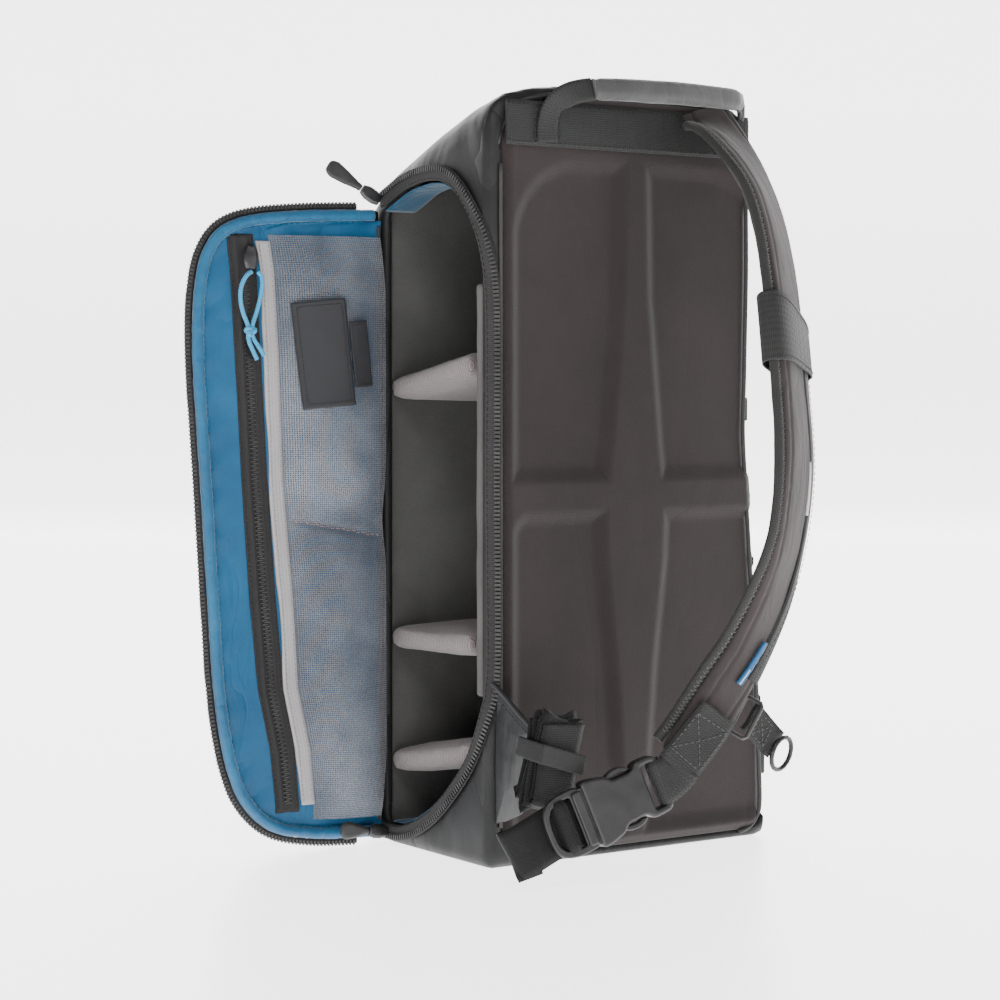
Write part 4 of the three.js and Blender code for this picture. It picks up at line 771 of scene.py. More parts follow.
def boxed(x_low, x_high, z_low, z_high, y, cross=True):
    """The rows of a box stitch on the band, with its crossing diagonals."""
    face = Vector((0, -1, 0))
    rows = [([(x_low, y, z_low), (x_high, y, z_low)], face), ([(x_high, y, z_low), (x_high, y, z_high)], face),
            ([(x_high, y, z_high), (x_low, y, z_high)], face), ([(x_low, y, z_high), (x_low, y, z_low)], face)]
    if cross:
        rows += [([(x_low, y, z_low), (x_high, y, z_high)], face),
                 ([(x_low, y, z_high), (x_high, y, z_low)], face)]
    return rows


band_face = -0.08202
band_rows_sewn = [([(-0.092, band_face, z), (0.081, band_face, z)], Vector((0, -1, 0)))
                  for z in (0.4078, 0.4290)]
band_rows_sewn += boxed(-0.0745, -0.0580, 0.4092, 0.4270, band_face - 0.0019)
band_rows_sewn += boxed(0.018, 0.030, 0.4092, 0.4280, band_face, cross=False)
band_stitches = stitch_rows("band_stitches", band_rows_sewn, thread_dark)

# Handle's centre line: shares of its span, of its stand-off and of the top band's width.
handle_rows = [
    (-0.52, 0.00, 0.05), (-0.52, 0.02, 0.45), (-0.50, 0.22, 0.90), (-0.40, 0.72, 1.20),
    (-0.22, 0.98, 1.27), (0.05, 1.05, 1.29), (0.30, 0.98, 1.29), (0.42, 0.74, 1.28),
    (0.475, 0.36, 1.24), (0.50, 0.06, 1.14), (0.535, -0.05, 1.06)]
handle_span, handle_stand_off, handle_shift = 0.135, 0.013, 0.03
handle_back, handle_base, handle_band = -0.0839, 0.41925, 0.025


def grown(stations, width, thickness, name, nodes):
    return framed_ribbon(name, stations, width, thickness, grey_webbing, nodes)


handle_points = [Vector(((along + handle_shift) * handle_span, handle_back - out * handle_stand_off,
                         handle_base + (up - 0.5) * handle_band)) for along, out, up in handle_rows]
handle_sides = [Vector((1, 0, 0) if along < -0.485 else (0, -0.25, -0.97)) for along, _, _ in handle_rows]
handle_line = [(point, across.normalized()) for point, across in
               zip(curve_run(handle_points, 24), curve_run(handle_sides, 24, True))]
handle_left = grown(even_stations(handle_line[:9], 0.0015), 0.0135, 0.0026, "handle_left", ("handle_web_left",))
handle_right = grown(even_stations(handle_line[17:], 0.0015), 0.0128, 0.0026, "handle_right", ("handle_web_right",))

sleeve_cloth = cloth_finish("sleeve_cloth", (0.034, 0.033, 0.0335), (0.085, 0.083, 0.084), 0.55,
                            0.0006, 0.00012, crease=0.0012, crease_size=40.0, wear=0.9,
                            Sheen_Weight=0.3)
builder = bmesh.new()
sleeve_line = even_stations(handle_line[8:19], 0.0016)
sleeve_rings = []
for k, (point, across) in enumerate(sleeve_line):
    share = k / (len(sleeve_line) - 1)
    along = (sleeve_line[min(k + 1, len(sleeve_line) - 1)][0] - sleeve_line[max(k - 1, 0)][0]).normalized()
    across = (across - along * across.dot(along)).normalized()
    up = along.cross(across)
    puff = 0.9 + 0.1 * math.sin(math.pi * share) ** 0.3
    lip = 1.0 - 0.12 * (math.exp(-((share - 0.02) / 0.012) ** 2) + math.exp(-((share - 0.98) / 0.012) ** 2))
    ring = []
    for s in range(28):
        turn = s / 28 * math.tau
        flatness = 0.74 if math.sin(turn) < 0 else 0.70
        wide = math.copysign(abs(math.cos(turn)) ** 0.75, math.cos(turn)) * 0.0066
        tall = math.copysign(abs(math.sin(turn)) ** 0.9, math.sin(turn)) * 0.0066 * flatness
        seam = 0.0004 * math.exp(-((turn - 4.2) / 0.12) ** 2)
        ring.append(builder.verts.new(point + (across * wide + up * (tall - seam)) * puff * lip))
    sleeve_rings.append(ring)
for a, b in zip(sleeve_rings, sleeve_rings[1:]):
    for s in range(28):
        builder.faces.new((a[s], a[(s + 1) % 28], b[(s + 1) % 28], b[s])).smooth = True
builder.faces.new(sleeve_rings[0][::-1])
builder.faces.new(sleeve_rings[-1])
sleeve_mesh = bpy.data.meshes.new("handle_wrap")
bmesh.ops.recalc_face_normals(builder, faces=builder.faces)
builder.to_mesh(sleeve_mesh)
builder.free()
sleeve_mesh.materials.append(sleeve_cloth)
handle_wrap = bpy.data.objects.new("handle_wrap", sleeve_mesh)
scene.collection.objects.link(handle_wrap)
press(handle_wrap, lambda points, normals: rumple(points, 0.012, 5) * 0.0003)
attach(handle_wrap, "root")
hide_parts("handle_sleeve")

# Opening zip and what lines the opening: a woven tape with one row of moulded teeth,
# two strips of blue facing darkened with painted shade, a rolled lining edge and a grey inner wall.
# The zip's line round the opening: shares of the door's depth and height, and its tuck.
door_rows = [
    (1.000, 0.966, 0.0), (0.743, 0.992, 0.0), (0.451, 0.998, 0.0), (0.292, 0.981, 0.0), (0.150, 0.941, 0.1),
    (0.064, 0.895, 0.5), (0.026, 0.822, 1.0), (0.022, 0.545, 1.0), (0.022, 0.266, 1.0), (0.064, 0.212, 0.5),
    (0.168, 0.150, 0.1), (0.354, 0.094, 0.0), (0.540, 0.054, 0.0), (0.779, 0.024, 0.0), (1.000, 0.020, 0.0)]
door_deep, door_high, panel_plane = 112.96, 393.88, -80.0
door_spots = curve_run([Vector((tuck, panel_plane + deep * door_deep, up * door_high))
                        for deep, up, tuck in door_rows], 34)
zip_stations = []
for k, spot in enumerate(door_spots):
    before, after = door_spots[max(k - 1, 0)], door_spots[min(k + 1, len(door_spots) - 1)]
    along = Vector((0, after.y - before.y, after.z - before.z)).normalized()
    inward = Vector((0, -along.z, along.y))
    tuck = min(max(spot.x, 0), 1)
    lean = tuck * math.pi / 4
    across = inward * math.cos(lean) - Vector((math.sin(lean), 0, 0))
    zip_stations.append((Vector((-103.75 + tuck * 5, spot.y, spot.z)) / 1000, across))
zip_line = even_stations(zip_stations, 0.0025)
zip_cloth = webbing_finish("zip_cloth", (0.010, 0.0095, 0.0095), (0.045, 0.042, 0.042), rib=0.0011,
                           warp=0.0007, depth=0.00016, rough=0.8)


def beside(stations, across_by, out_by):
    """The stations moved across the ribbon and off its outer face."""
    moved = []
    for k, (point, across) in enumerate(stations):
        along = (stations[min(k + 1, len(stations) - 1)][0] - stations[max(k - 1, 0)][0]).normalized()
        across = (across - along * across.dot(along)).normalized()
        moved.append((point + across * across_by + along.cross(across) * out_by, across))
    return moved


outwards = 1 if zip_line[60][1].cross(zip_line[61][0] - zip_line[60][0]).x < 0 else -1
zip_tape = framed_ribbon("zip_tape", zip_line, 0.009, 0.0015, zip_cloth, ("opening_zip",))


def teeth_row(name, stations, pitch, size, finish, alternate=0.0):
    """Moulded teeth or coil turns set side by side along stations."""
    builder = bmesh.new()
    carried = 0.0
    flip = 1
    for (a, across_a), (b, across_b) in zip(stations, stations[1:]):
        span = (b - a).length
        along = (b - a).normalized()
        while carried < span:
            share = carried / span
            across = across_a.lerp(across_b, share)
            across = (across - along * across.dot(along)).normalized()
            out = along.cross(across)
            spot = a.lerp(b, share) + across * flip * alternate
            wide, tall, long = size[0] / 2, size[1] / 2, size[2] / 2
            corners = []
            for sa, sh, sl in ((-1, -1, -1), (1, -1, -1), (1, 1, -0.7), (-1, 1, -0.7),
                               (-1, -1, 1), (1, -1, 1), (1, 1, 0.7), (-1, 1, 0.7)):
                pinch = 0.78 if sh > 0 else 1.0
                corners.append(builder.verts.new(spot + across * sa * wide * pinch + out * sh * tall
                                                 + along * sl * long))
            for quad in ((0, 3, 2, 1), (4, 5, 6, 7), (0, 1, 5, 4), (1, 2, 6, 5), (2, 3, 7, 6), (3, 0, 4, 7)):
                builder.faces.new([corners[i] for i in quad])
            carried += pitch
            flip = -flip
        carried -= span
    mesh = bpy.data.meshes.new(name)
    bmesh.ops.recalc_face_normals(builder, faces=builder.faces)
    builder.to_mesh(mesh)
    builder.free()
    mesh.materials.append(finish)
    made = bpy.data.objects.new(name, mesh)
    scene.collection.objects.link(made)
    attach(made, "root")
    return made


def moulded(name, dark, light, rough, depth=0.00003, scale=1400.0, **shader_values):
    """Moulded plastic or plated metal: fine grain and a slow change of gloss."""
    made, tree, shader, place = open_material(name, rough, **shader_values)
    soil = wire(tree, "ShaderNodeGroup", node_tree=slow_wear)
    tree.links.new(place.outputs["Object"], soil.inputs["Place"])
    soil.inputs["Size"].default_value = 60.0
    soil.inputs["Amount"].default_value = 0.8
    tinted(tree, shader, dark, light, soil.outputs["Mask"])
    tree.links.new(maths(tree, "MULTIPLY_ADD", soil.outputs["Mask"], 0.18, rough), shader.inputs["Roughness"])
    grain = wire(tree, "ShaderNodeTexNoise", [("Vector", place.outputs["Object"]), ("Scale", scale)])
    bumped(tree, shader, grain.outputs["Fac"], depth)
    return made


tooth_plastic = moulded("tooth_plastic", (0.018, 0.017, 0.017), (0.05, 0.048, 0.048), 0.38)
zip_teeth = teeth_row("zip_teeth", beside(zip_line, -0.0026, 0.0012 * -outwards), 0.0023,
                      (0.0034, 0.0019, 0.0013), tooth_plastic)
zip_sewing = stitch_rows("zip_sewing", [
    ([p for p, _ in beside(zip_line, 0.0034, 0.00085 * -outwards)], Vector((-1, -0.3, 0)))], thread_dark)

blue_nylon = cloth_finish("blue_nylon", (0.003, 0.062, 0.15), (0.009, 0.125, 0.27), 0.5, 0.0007,
                          0.0001, crease=0.0022, crease_size=26.0, Sheen_Weight=0.2)
# The facing's blue is set much darker than the lining's: painted shade inside the opening's rim.
shaded_facing_nylon = cloth_finish("shaded_facing_nylon", (0.003, 0.03, 0.06), (0.012, 0.09, 0.17), 0.5, 0.0008,
                            0.00012, crease=0.002, crease_size=34.0, Sheen_Weight=0.2)


def facing_strip(name, low, high, node):
    rows = []
    for k, spot in enumerate(door_spots):
        if low <= k / (len(door_spots) - 1) <= high:
            before, after = door_spots[max(k - 1, 0)], door_spots[min(k + 1, len(door_spots) - 1)]
            along = Vector((0, after.y - before.y, after.z - before.z)).normalized()
            inset = Vector((0, -along.z, along.y)) * 0.0059
            rows.append((Vector((-0.0911, spot.y / 1000, spot.z / 1000)) + inset, Vector((1, 0, 0))))
    strip = framed_ribbon(name, even_stations(rows, 0.003), 0.0215, 0.0012, shaded_facing_nylon,
                          (node,))
    press(strip, lambda points, normals: rumple(points, 0.02, 7) * 0.0004)
    return strip


facing_above = facing_strip("facing_above", 0, 0.30, "rim_facing_top")
facing_below = facing_strip("facing_below", 0.72, 0.985, "rim_facing_foot")

roll_cloth = cloth_finish("roll_cloth", (0.075, 0.071, 0.068), (0.13, 0.124, 0.118), 0.85, 0.001, 0.0002)
lining_bead = soft_copy("lining_roll", "lining_bead", 0.0014, 2)
press(lining_bead, lambda points, normals: rumple(points, 0.02, 8) * 0.0004)
lining_bead.data.materials.append(roll_cloth)

wall_cloth = cloth_finish("wall_cloth", (0.055, 0.054, 0.052), (0.10, 0.098, 0.094), 0.9, 0.0013,
                          0.0003, Sheen_Weight=0.4)
wall_lining = soft_copy("inner_wall", "wall_lining", 0.0018, 2)
press(wall_lining, lambda points, normals: rumple(points, 0.05, 9) * 0.0004)
wall_lining.data.materials.append(wall_cloth)

# Dividers: brushed ribbed cloth over foam boards, with thick rounded ends towards the
# door. Each is blown up a little like a cushion, so its edges pull in along the seam.
ribbed_knit, start, end = new_group(
    "ribbed_knit", [("Place", VECTOR, None), ("Pitch", FLOAT, 0.0016)],
    [("Height", FLOAT), ("Tint", FLOAT)])
split = wire(ribbed_knit, "ShaderNodeSeparateXYZ", [(0, start.outputs["Place"])])
turn = maths(ribbed_knit, "DIVIDE", maths(ribbed_knit, "ADD", split.outputs[0], split.outputs[1]),
             start.outputs["Pitch"])
rib = maths(ribbed_knit, "SINE", maths(ribbed_knit, "MULTIPLY", turn, math.tau))
fuzz = wire(ribbed_knit, "ShaderNodeTexNoise",
            [("Vector", start.outputs["Place"]), ("Scale", 1500.0), ("Detail", 3.0)])
tuft = maths(ribbed_knit, "MULTIPLY_ADD", fuzz.outputs["Fac"], 1.3, maths(ribbed_knit, "MULTIPLY", rib, 0.5))
ribbed_knit.links.new(tuft, end.inputs["Height"])
# The tint is partly the fuzz's random tone and partly the ribs' height, darker in the furrows: painted shade.
ribbed_knit.links.new(maths(ribbed_knit, "MULTIPLY", tuft, 0.75), end.inputs["Tint"])

divider_fleece, tree, shader, place = open_material("divider_fleece", 0.95, Sheen_Weight=0.35)
knit = wire(tree, "ShaderNodeGroup", node_tree=ribbed_knit)
tree.links.new(place.outputs["Object"], knit.inputs["Place"])
tinted(tree, shader, (0.12, 0.094, 0.094), (0.25, 0.205, 0.205), knit.outputs["Tint"])
tree.links.new(maths(tree, "MULTIPLY_ADD", knit.outputs["Tint"], 0.1, 0.88), shader.inputs["Roughness"])
bumped(tree, shader, knit.outputs["Height"], 0.0005)


def blown_up(made, pressure, seconds, reach):
    """Cloth pressure on a closed padded piece. Points end within reach of where they were."""
    start_points, _ = mesh_points(made)
    cloth = made.modifiers.new("cloth", "CLOTH")
    cloth.settings.quality = 5
    cloth.settings.mass = 0.3
    cloth.settings.tension_stiffness = 22
    cloth.settings.compression_stiffness = 22
    cloth.settings.bending_stiffness = 0.8
    cloth.settings.use_pressure = True
    cloth.settings.uniform_pressure_force = pressure
    cloth.settings.effector_weights.gravity = 0
    cloth.point_cache.frame_start = 1
    cloth.point_cache.frame_end = seconds
    for number in range(1, seconds + 1):
        scene.frame_set(number)
        bpy.context.view_layer.update()
    settle(made)
    scene.frame_set(1)
    ended, _ = mesh_points(made)
    shift = ended - start_points
    far = np.linalg.norm(shift, axis=1)
    limit = np.minimum(1.0, reach / np.maximum(far, 1e-9))
    made.data.vertices.foreach_set("co", (start_points + shift * limit[:, None]).ravel())
    made.data.update()
    made.data.shade_smooth()


dividers = {}
for level in ("upper", "middle", "lower"):
    pad = soft_copy(f"divider_{level}", f"padded_divider_{level}", 0.0022, 2)
    blown_up(pad, 3.0, 14, 0.0012)
    press(pad, lambda points, normals: rumple(points, 0.03, 10) * 0.0006)
    pad.data.materials.append(divider_fleece)
    dividers[level] = pad

# Door: a foam-backed nylon skin, a blue lining pulled into a gathered rim, the other
# half of the zip round its edge, and a zip pocket whose front is a bellied net.
hinge = Vector((-0.1027, 0.03536, 0.004))
door_out, door_in = Vector((-0.99144, 0.13053, 0)), Vector((-0.13053, -0.99144, 0))
flap_high, flap_wide = 0.37182, 0.119
edge_table = [
    (3.6, 371.8), (24.6, 371.1), (45.3, 370.2), (62.4, 368.9), (77.2, 367.3), (89.2, 364.8),
    (96.2, 362.2), (102, 358.9), (106.9, 354.3), (110.8, 348.5), (113.9, 341.6), (116.2, 332.8),
    (117.6, 323.1), (118.7, 311.4), (119, 298.5), (118.7, 278.7), (116.9, 247.7), (114.8, 215.7),
    (113.1, 186.1), (111.4, 157.1), (109.8, 130.4), (108.3, 105.3), (106.2, 83.1), (103.9, 66.8),
    (101, 52.2), (97.8, 41.1), (94.4, 32), (89.4, 23.7), (82.9, 16.2), (75, 10), (65.4, 5.8),
    (54.4, 3.3), (40.5, 1.4), (22.3, 0.5), (3.6, 0)]
strip_rows = [(0.06, 0.575, 0.450), (0.15, 0.606, 0.474), (0.245, 0.667, 0.535), (0.39, 0.708, 0.562),
              (0.575, 0.748, 0.612), (0.76, 0.779, 0.630), (0.90, 0.802, 0.655), (0.965, 0.822, 0.685)]


def on_door(u, n, z):
    return hinge + door_out * u + door_in * n + Vector((0, 0, z))


def strip_edge(up):
    return float(np.interp(up, [r[0] for r in strip_rows], [r[1] for r in strip_rows])) * flap_wide


def binding_edge(up):
    return float(np.interp(up, [r[0] for r in strip_rows], [r[2] for r in strip_rows])) * flap_wide


def flap_line(inset, lift, spacing, spare=0):
    """The door's edge drawn in by inset and lifted off its face, with the way outwards."""
    flat = smooth_line([(u / 1000, z / 1000, 0) for u, z in edge_table], spacing)
    made = []
    for k, spot in enumerate(flat):
        ahead, behind = flat[min(k + 1, len(flat) - 1)], flat[max(k - 1, 0)]
        along = (ahead - behind).normalized()
        out = Vector((-along.y, along.x, 0))
        moved = spot - out * inset
        made.append((on_door(moved.x, lift, moved.y), door_out * out.x + Vector((0, 0, out.y))))
    return made[spare:len(made) - spare]


def grid_sheet(name, spots, thickness_way, finish, node, closed_back=True, run=None):
    """A cloth from a grid of points, given a thickness, with UVs in metres on its face."""
    rows, columns = len(spots), len(spots[0])
    builder = bmesh.new()
    layer = builder.loops.layers.uv.new("run")
    front = [[builder.verts.new(p) for p in row] for row in spots]
    back = [[builder.verts.new(p - thickness_way(r, c)) for c, p in enumerate(row)]
            for r, row in enumerate(spots)] if closed_back else None

    def spread(face, r, c):
        for loop, (dr, dc) in zip(face.loops, ((0, 0), (0, 1), (1, 1), (1, 0))):
            loop[layer].uv = run(r + dr, c + dc) if run else (0, 0)
        face.smooth = True

    for r in range(rows - 1):
        for c in range(columns - 1):
            spread(builder.faces.new((front[r][c], front[r][c + 1], front[r + 1][c + 1], front[r + 1][c])), r, c)
            if back:
                face = builder.faces.new((back[r][c], back[r][c + 1], back[r + 1][c + 1], back[r + 1][c]))
                spread(face, r, c)
    if back:
        rim = ([(0, c) for c in range(columns)] + [(r, columns - 1) for r in range(1, rows)]
               + [(rows - 1, c) for c in range(columns - 2, -1, -1)] + [(r, 0) for r in range(rows - 2, 0, -1)])
        for k, (r, c) in enumerate(rim):
            r2, c2 = rim[(k + 1) % len(rim)]
            builder.faces.new((front[r][c], front[r2][c2], back[r2][c2], back[r][c]))
        bmesh.ops.recalc_face_normals(builder, faces=builder.faces)
    mesh = bpy.data.meshes.new(name)
    builder.to_mesh(mesh)
    builder.free()
    mesh.materials.append(finish)
    made = bpy.data.objects.new(name, mesh)
    scene.collection.objects.link(made)
    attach(made, "root")
    if node:
        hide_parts(node)
    return made


door_skin = soft_copy("flap_shell", "door_skin", 0.0025, 4)
blown_up(door_skin, 2.0, 12, 0.0012)


def skin_seams(points, normals):
    away = (points - np.array(hinge)) @ np.array(door_out)
    up = points[:, 2] - hinge.z
    edge_u = np.interp(up, [z / 1000 for _, z in edge_table[::-1]], [u / 1000 for u, _ in edge_table[::-1]])
    inset = np.minimum.reduce([edge_u - away, up, flap_high - up])
    outer = normals @ np.array(-door_in) > 0.5
    seam = np.exp(-((inset - 0.013) / 0.0011) ** 2) * outer
    return rumple(points * np.array([1, 1, 0.6]), 0.05, 11) * 0.0009 - seam * 0.0009


press(door_skin, skin_seams)
door_skin.data.materials.append(coated_cloth)

lining_steps_z, lining_steps_u = 180, 60
lining_edge = [(((p - hinge) @ door_out), p.z - hinge.z) for p, _ in flap_line(0.0060, 0, 0.002)]
lining_z = np.linspace(0.0068, flap_high - 0.0068, lining_steps_z)
rising = sorted([(z, u) for u, z in lining_edge])
lining_u = np.interp(lining_z, [z for z, _ in rising], [u for _, u in rising])
lining_spots = []
for z, reach in zip(lining_z, lining_u):
    row = []
    for c in range(lining_steps_u):
        share = c / (lining_steps_u - 1)
        u = 0.0006 + (reach - 0.0006) * share
        near_edge = min(reach - u, z - 0.0068, flap_high - 0.0068 - z)
        pucker = math.exp(-max(near_edge, 0) / 0.006)
        run = z + u * 0.6 if share > 0.8 else u + z * 0.6
        fold = noise.noise(Vector((u / 0.011, z / 0.06, 1.3))) * 0.0006
        n = 0.0021 + fold + pucker * 0.0007 * math.sin(run / 0.0034) + 0.0002
        row.append(on_door(u, n, z))
    lining_spots.append(row)
door_lining = grid_sheet("door_lining", lining_spots, lambda r, c: door_in * 0.0012, blue_nylon,
                         "flap_lining")


rim_nylon = cloth_finish("rim_nylon", (0.004, 0.07, 0.16), (0.012, 0.145, 0.29), 0.45, 0.0007,
                         0.0001, crease=0.0014, crease_size=60.0, Sheen_Weight=0.3)
rim_stations = flap_line(0.0035, 0.00385, 0.0012, spare=2)
gathered_rim = swept_tube("gathered_rim", [p for p, _ in rim_stations], 0.0035, rim_nylon,
                          sides=20, facing=[door_in] * len(rim_stations))


def gathers(points, normals):
    return (rumple(points, 0.006, 12) * 0.00030 + rumple(points, 0.0028, 13) * 0.00016 - 0.0001)


press(gathered_rim, gathers)
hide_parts("flap_rim")
rim_sewing = stitch_rows("rim_sewing", [([p for p, _ in flap_line(0.0074, 0.0036, 0.003, spare=3)], door_in)],
                         cloth_finish("thread_blue", (0.01, 0.13, 0.25), (0.02, 0.22, 0.4), 0.5, 0.0004, 0.00004))

coil_stations = flap_line(-0.0018, 0.00175, 0.0018, spare=7)
door_tape = framed_ribbon("door_tape", coil_stations, 0.0034, 0.0015, zip_cloth, ("flap_zip",))
door_teeth = teeth_row("door_teeth", flap_line(-0.0028, 0.00215, 0.0018, spare=8), 0.0023,
                       (0.0030, 0.0021, 0.0013), tooth_plastic)
hinge_tape_line = [on_door(0.0022, 0.0026, z) for z in np.linspace(0.010, 0.362, 80)]
hinge_binding = swept_tube("hinge_binding", hinge_tape_line, 0.0012, seam_piping)

strip_black = webbing_finish("strip_black", (0.011, 0.0105, 0.0105), (0.036, 0.034, 0.034), rib=0.0008,
                             warp=0.0008, depth=0.00012, rough=0.82)
strip_spots, strip_shares = [], np.linspace(0.955, 0.05, 150)
for up in strip_shares:
    outer = strip_edge(up)
    inner = max(outer - 0.016, binding_edge(up) + 0.00035)
    row = []
    for c in range(25):
        share = c / 24
        from_coil = abs(share - 0.52) * (outer - inner)
        n = 0.0031 - 0.0004 * math.exp(-(from_coil / 0.0018) ** 2)
        n += 0.0004 * math.exp(-((from_coil - 0.0036) / 0.0007) ** 2)
        n += 0.00025 * noise.noise(Vector((share * 2, up * 30, 4.0)))
        row.append(on_door(outer + (inner - outer) * share, n, up * flap_high))
    strip_spots.append(row)
pocket_band = grid_sheet("pocket_band", strip_spots, lambda r, c: door_in * 0.0012, strip_black,
                         "pocket_strip",
                         run=lambda r, c: (r * 0.00226, c * 0.00066))
pocket_coil_line = []
for up in np.linspace(0.885, 0.065, 120):
    outer = strip_edge(up)
    inner = max(outer - 0.016, binding_edge(up) + 0.00035)
    pocket_coil_line.append((on_door(outer + (inner - outer) * 0.52, 0.0033, up * flap_high), door_out))
pocket_coil = teeth_row("pocket_coil", pocket_coil_line, 0.00125, (0.0032, 0.0011, 0.0008), tooth_plastic,
                        alternate=0.0006)
strip_sewing = []
for share in (0.07, 0.93):
    line = []
    for up in np.linspace(0.95, 0.055, 60):
        outer = strip_edge(up)
        inner = max(outer - 0.016, binding_edge(up) + 0.00035)
        line.append(on_door(outer + (inner - outer) * share, 0.00325, up * flap_high))
    strip_sewing.append((line, door_in))
strip_stitches = stitch_rows("strip_stitches", strip_sewing, thread_dark, long=0.0022)

grosgrain = webbing_finish("grosgrain", (0.25, 0.235, 0.24), (0.47, 0.45, 0.455), rib=0.0009, warp=0.0022,
                           depth=0.00016, rough=0.75)
binding_spots = []
for up in np.linspace(0.945, 0.06, 170):
    outer = binding_edge(up) - max(math.sin(up * 23), 0) * 0.0012
    inner = binding_edge(up) - 0.0095
    row = []
    for c in range(13):
        share = c / 12
        n = 0.0036 + 0.0003 * noise.noise(Vector((share, up * 24, 6.0)))
        n -= 0.0005 * max(0, abs(share - 0.5) * 2 - 0.8) / 0.2
        row.append(on_door(outer + (inner - outer) * share, n, up * flap_high))
    binding_spots.append(row)
mesh_edge = grid_sheet("mesh_edge", binding_spots, lambda r, c: door_in * 0.0014, grosgrain,
                       "mesh_binding", run=lambda r, c: (r * 0.00195, c * 0.0008))
edge_sewing = []
for inset in (0.0022, 0.0078):
    edge_sewing.append(([on_door(binding_edge(up) - inset, 0.0038, up * flap_high)
                         for up in np.linspace(0.94, 0.065, 60)], door_in))
mesh_edge_stitches = stitch_rows("mesh_edge_stitches", edge_sewing,
                                 cloth_finish("thread_grey", (0.2, 0.19, 0.19), (0.33, 0.32, 0.32), 0.6,
                                              0.0004, 0.00004), long=0.002, thick=0.00026)


def net_face(u, up):
    """How far the net stands off the lining: two bellies with a stitched pinch between."""
    outer = binding_edge(up) - 0.01055
    share = min(max((outer - u) / (outer - 0.003), 0), 1)
    pinch = 1 - 0.45 * math.exp(-((up - 0.51) / 0.05) ** 2)
    ends = min(max(min((0.965 - up) / 0.1, (up - 0.02) / 0.12), 0), 1)
    return 0.0023 + 0.017 * math.sin(math.pi * share * 0.78) ** 0.8 * pinch * math.sqrt(ends)


net_cloth, tree, shader, place = open_material("net_cloth", 0.55, Sheen_Weight=0.2)
run = wire(tree, "ShaderNodeUVMap", uv_map="run")
cells = wire(tree, "ShaderNodeTexVoronoi", [("Vector", run.outputs[0]), ("Scale", 820.0), ("Randomness", 0.18)])
soil = wire(tree, "ShaderNodeGroup", node_tree=slow_wear)
tree.links.new(place.outputs["Object"], soil.inputs["Place"])
soil.inputs["Amount"].default_value = 1.0
holes = wire(tree, "ShaderNodeMapRange", [("Value", cells.outputs["Distance"]), ("From Min", 0.24),
                                          ("From Max", 0.40), ("To Min", 0.16), ("To Max", 0.86)])
tree.links.new(holes.outputs[0], shader.inputs["Alpha"])
tinted(tree, shader, (0.11, 0.118, 0.138), (0.24, 0.25, 0.275), soil.outputs["Mask"])
tree.links.new(maths(tree, "MULTIPLY_ADD", soil.outputs["Mask"], 0.2, 0.5), shader.inputs["Roughness"])
bumped(tree, shader, holes.outputs[0], 0.0002)

net_ups = np.linspace(0.955, 0.035, 260)
net_columns = 90
net_spots = []
for up in net_ups:
    outer = binding_edge(up) - 0.0085
    row = []
    for c in range(net_columns):
        share = c / (net_columns - 1)
        u = outer + (0.003 - outer) * share
        loose = math.sin(math.pi * share) ** 0.7
        fold = noise.noise(Vector((u / 0.016 + up * 2.2, up * 3.4, 2.0))) * 0.0016
        fold += noise.noise(Vector((u / 0.03, up * 17, 8.0))) * 0.0011
        seam = math.exp(-((up - 0.512 + 0.03 * share) / 0.006) ** 2)
        n = net_face(u, up) + 0.0006 + (fold - 0.0006) * loose - seam * 0.0022 * loose
        row.append(on_door(u, max(n, 0.0030), up * flap_high))
    net_spots.append(row)
mesh_net = grid_sheet("mesh_net", net_spots, None, net_cloth, "mesh_pocket", closed_back=False,
                      run=lambda r, c: (r * 0.00132, c * 0.0007))
seam_line = []
for c in range(4, net_columns - 3, 2):
    share = c / (net_columns - 1)
    up = 0.512 - 0.03 * share
    row = int(round((0.955 - up) / 0.92 * 259))
    seam_line.append(net_spots[row][c] + door_in * 0.0004)
net_seam = stitch_rows("net_seam", [(seam_line, door_in)],
                       cloth_finish("thread_rose", (0.24, 0.17, 0.16), (0.4, 0.3, 0.28), 0.6, 0.0004, 0.00004),
                       long=0.0024)

label_weave = webbing_finish("label_weave", (0.012, 0.012, 0.014), (0.034, 0.034, 0.038), rib=0.0005,
                             warp=0.0006, depth=0.00008, rough=0.6)


def woven_patch(name, centre_u, centre_up, wide, tall, node):
    tilt = math.radians(6)
    spots = []
    for r in range(45):
        t = (r / 44 - 0.5) * tall
        row = []
        for c in range(25):
            w = (c / 24 - 0.5) * wide
            u = centre_u * flap_wide + math.cos(tilt) * w + math.sin(tilt) * t
            z = centre_up * flap_high + math.cos(tilt) * t - math.sin(tilt) * w
            lift = net_face(u, z / flap_high) + 0.0035
            curl = 0.0006 * (abs(t / tall) * 2) ** 6 + 0.0003 * noise.noise(Vector((w / 0.01, t / 0.02, 3)))
            row.append(on_door(u, lift + curl, z))
        spots.append(row)
    patch = grid_sheet(name, spots, lambda r, c: door_in * 0.0011, label_weave, node,
                       run=lambda r, c: (r * tall / 44, c * wide / 24))
    frame_line = []
    for r, c in ([(2, c) for c in range(2, 22, 2)] + [(r, 22) for r in range(2, 42, 2)]
                 + [(42, c) for c in range(22, 2, -2)] + [(r, 2) for r in range(42, 0, -2)]):
        frame_line.append(spots[r][c] + door_in * 0.0002)
    stitch_rows(name + "_sewing", [(frame_line, door_in)], thread_dark, long=0.0018, gap=0.0007, thick=0.00024)
    return patch


woven_label = woven_patch("woven_label", 0.365, 0.77, 0.029, 0.062, "label_patch")
woven_tab = woven_patch("woven_tab", 0.185, 0.77, 0.011, 0.038, "label_tab")

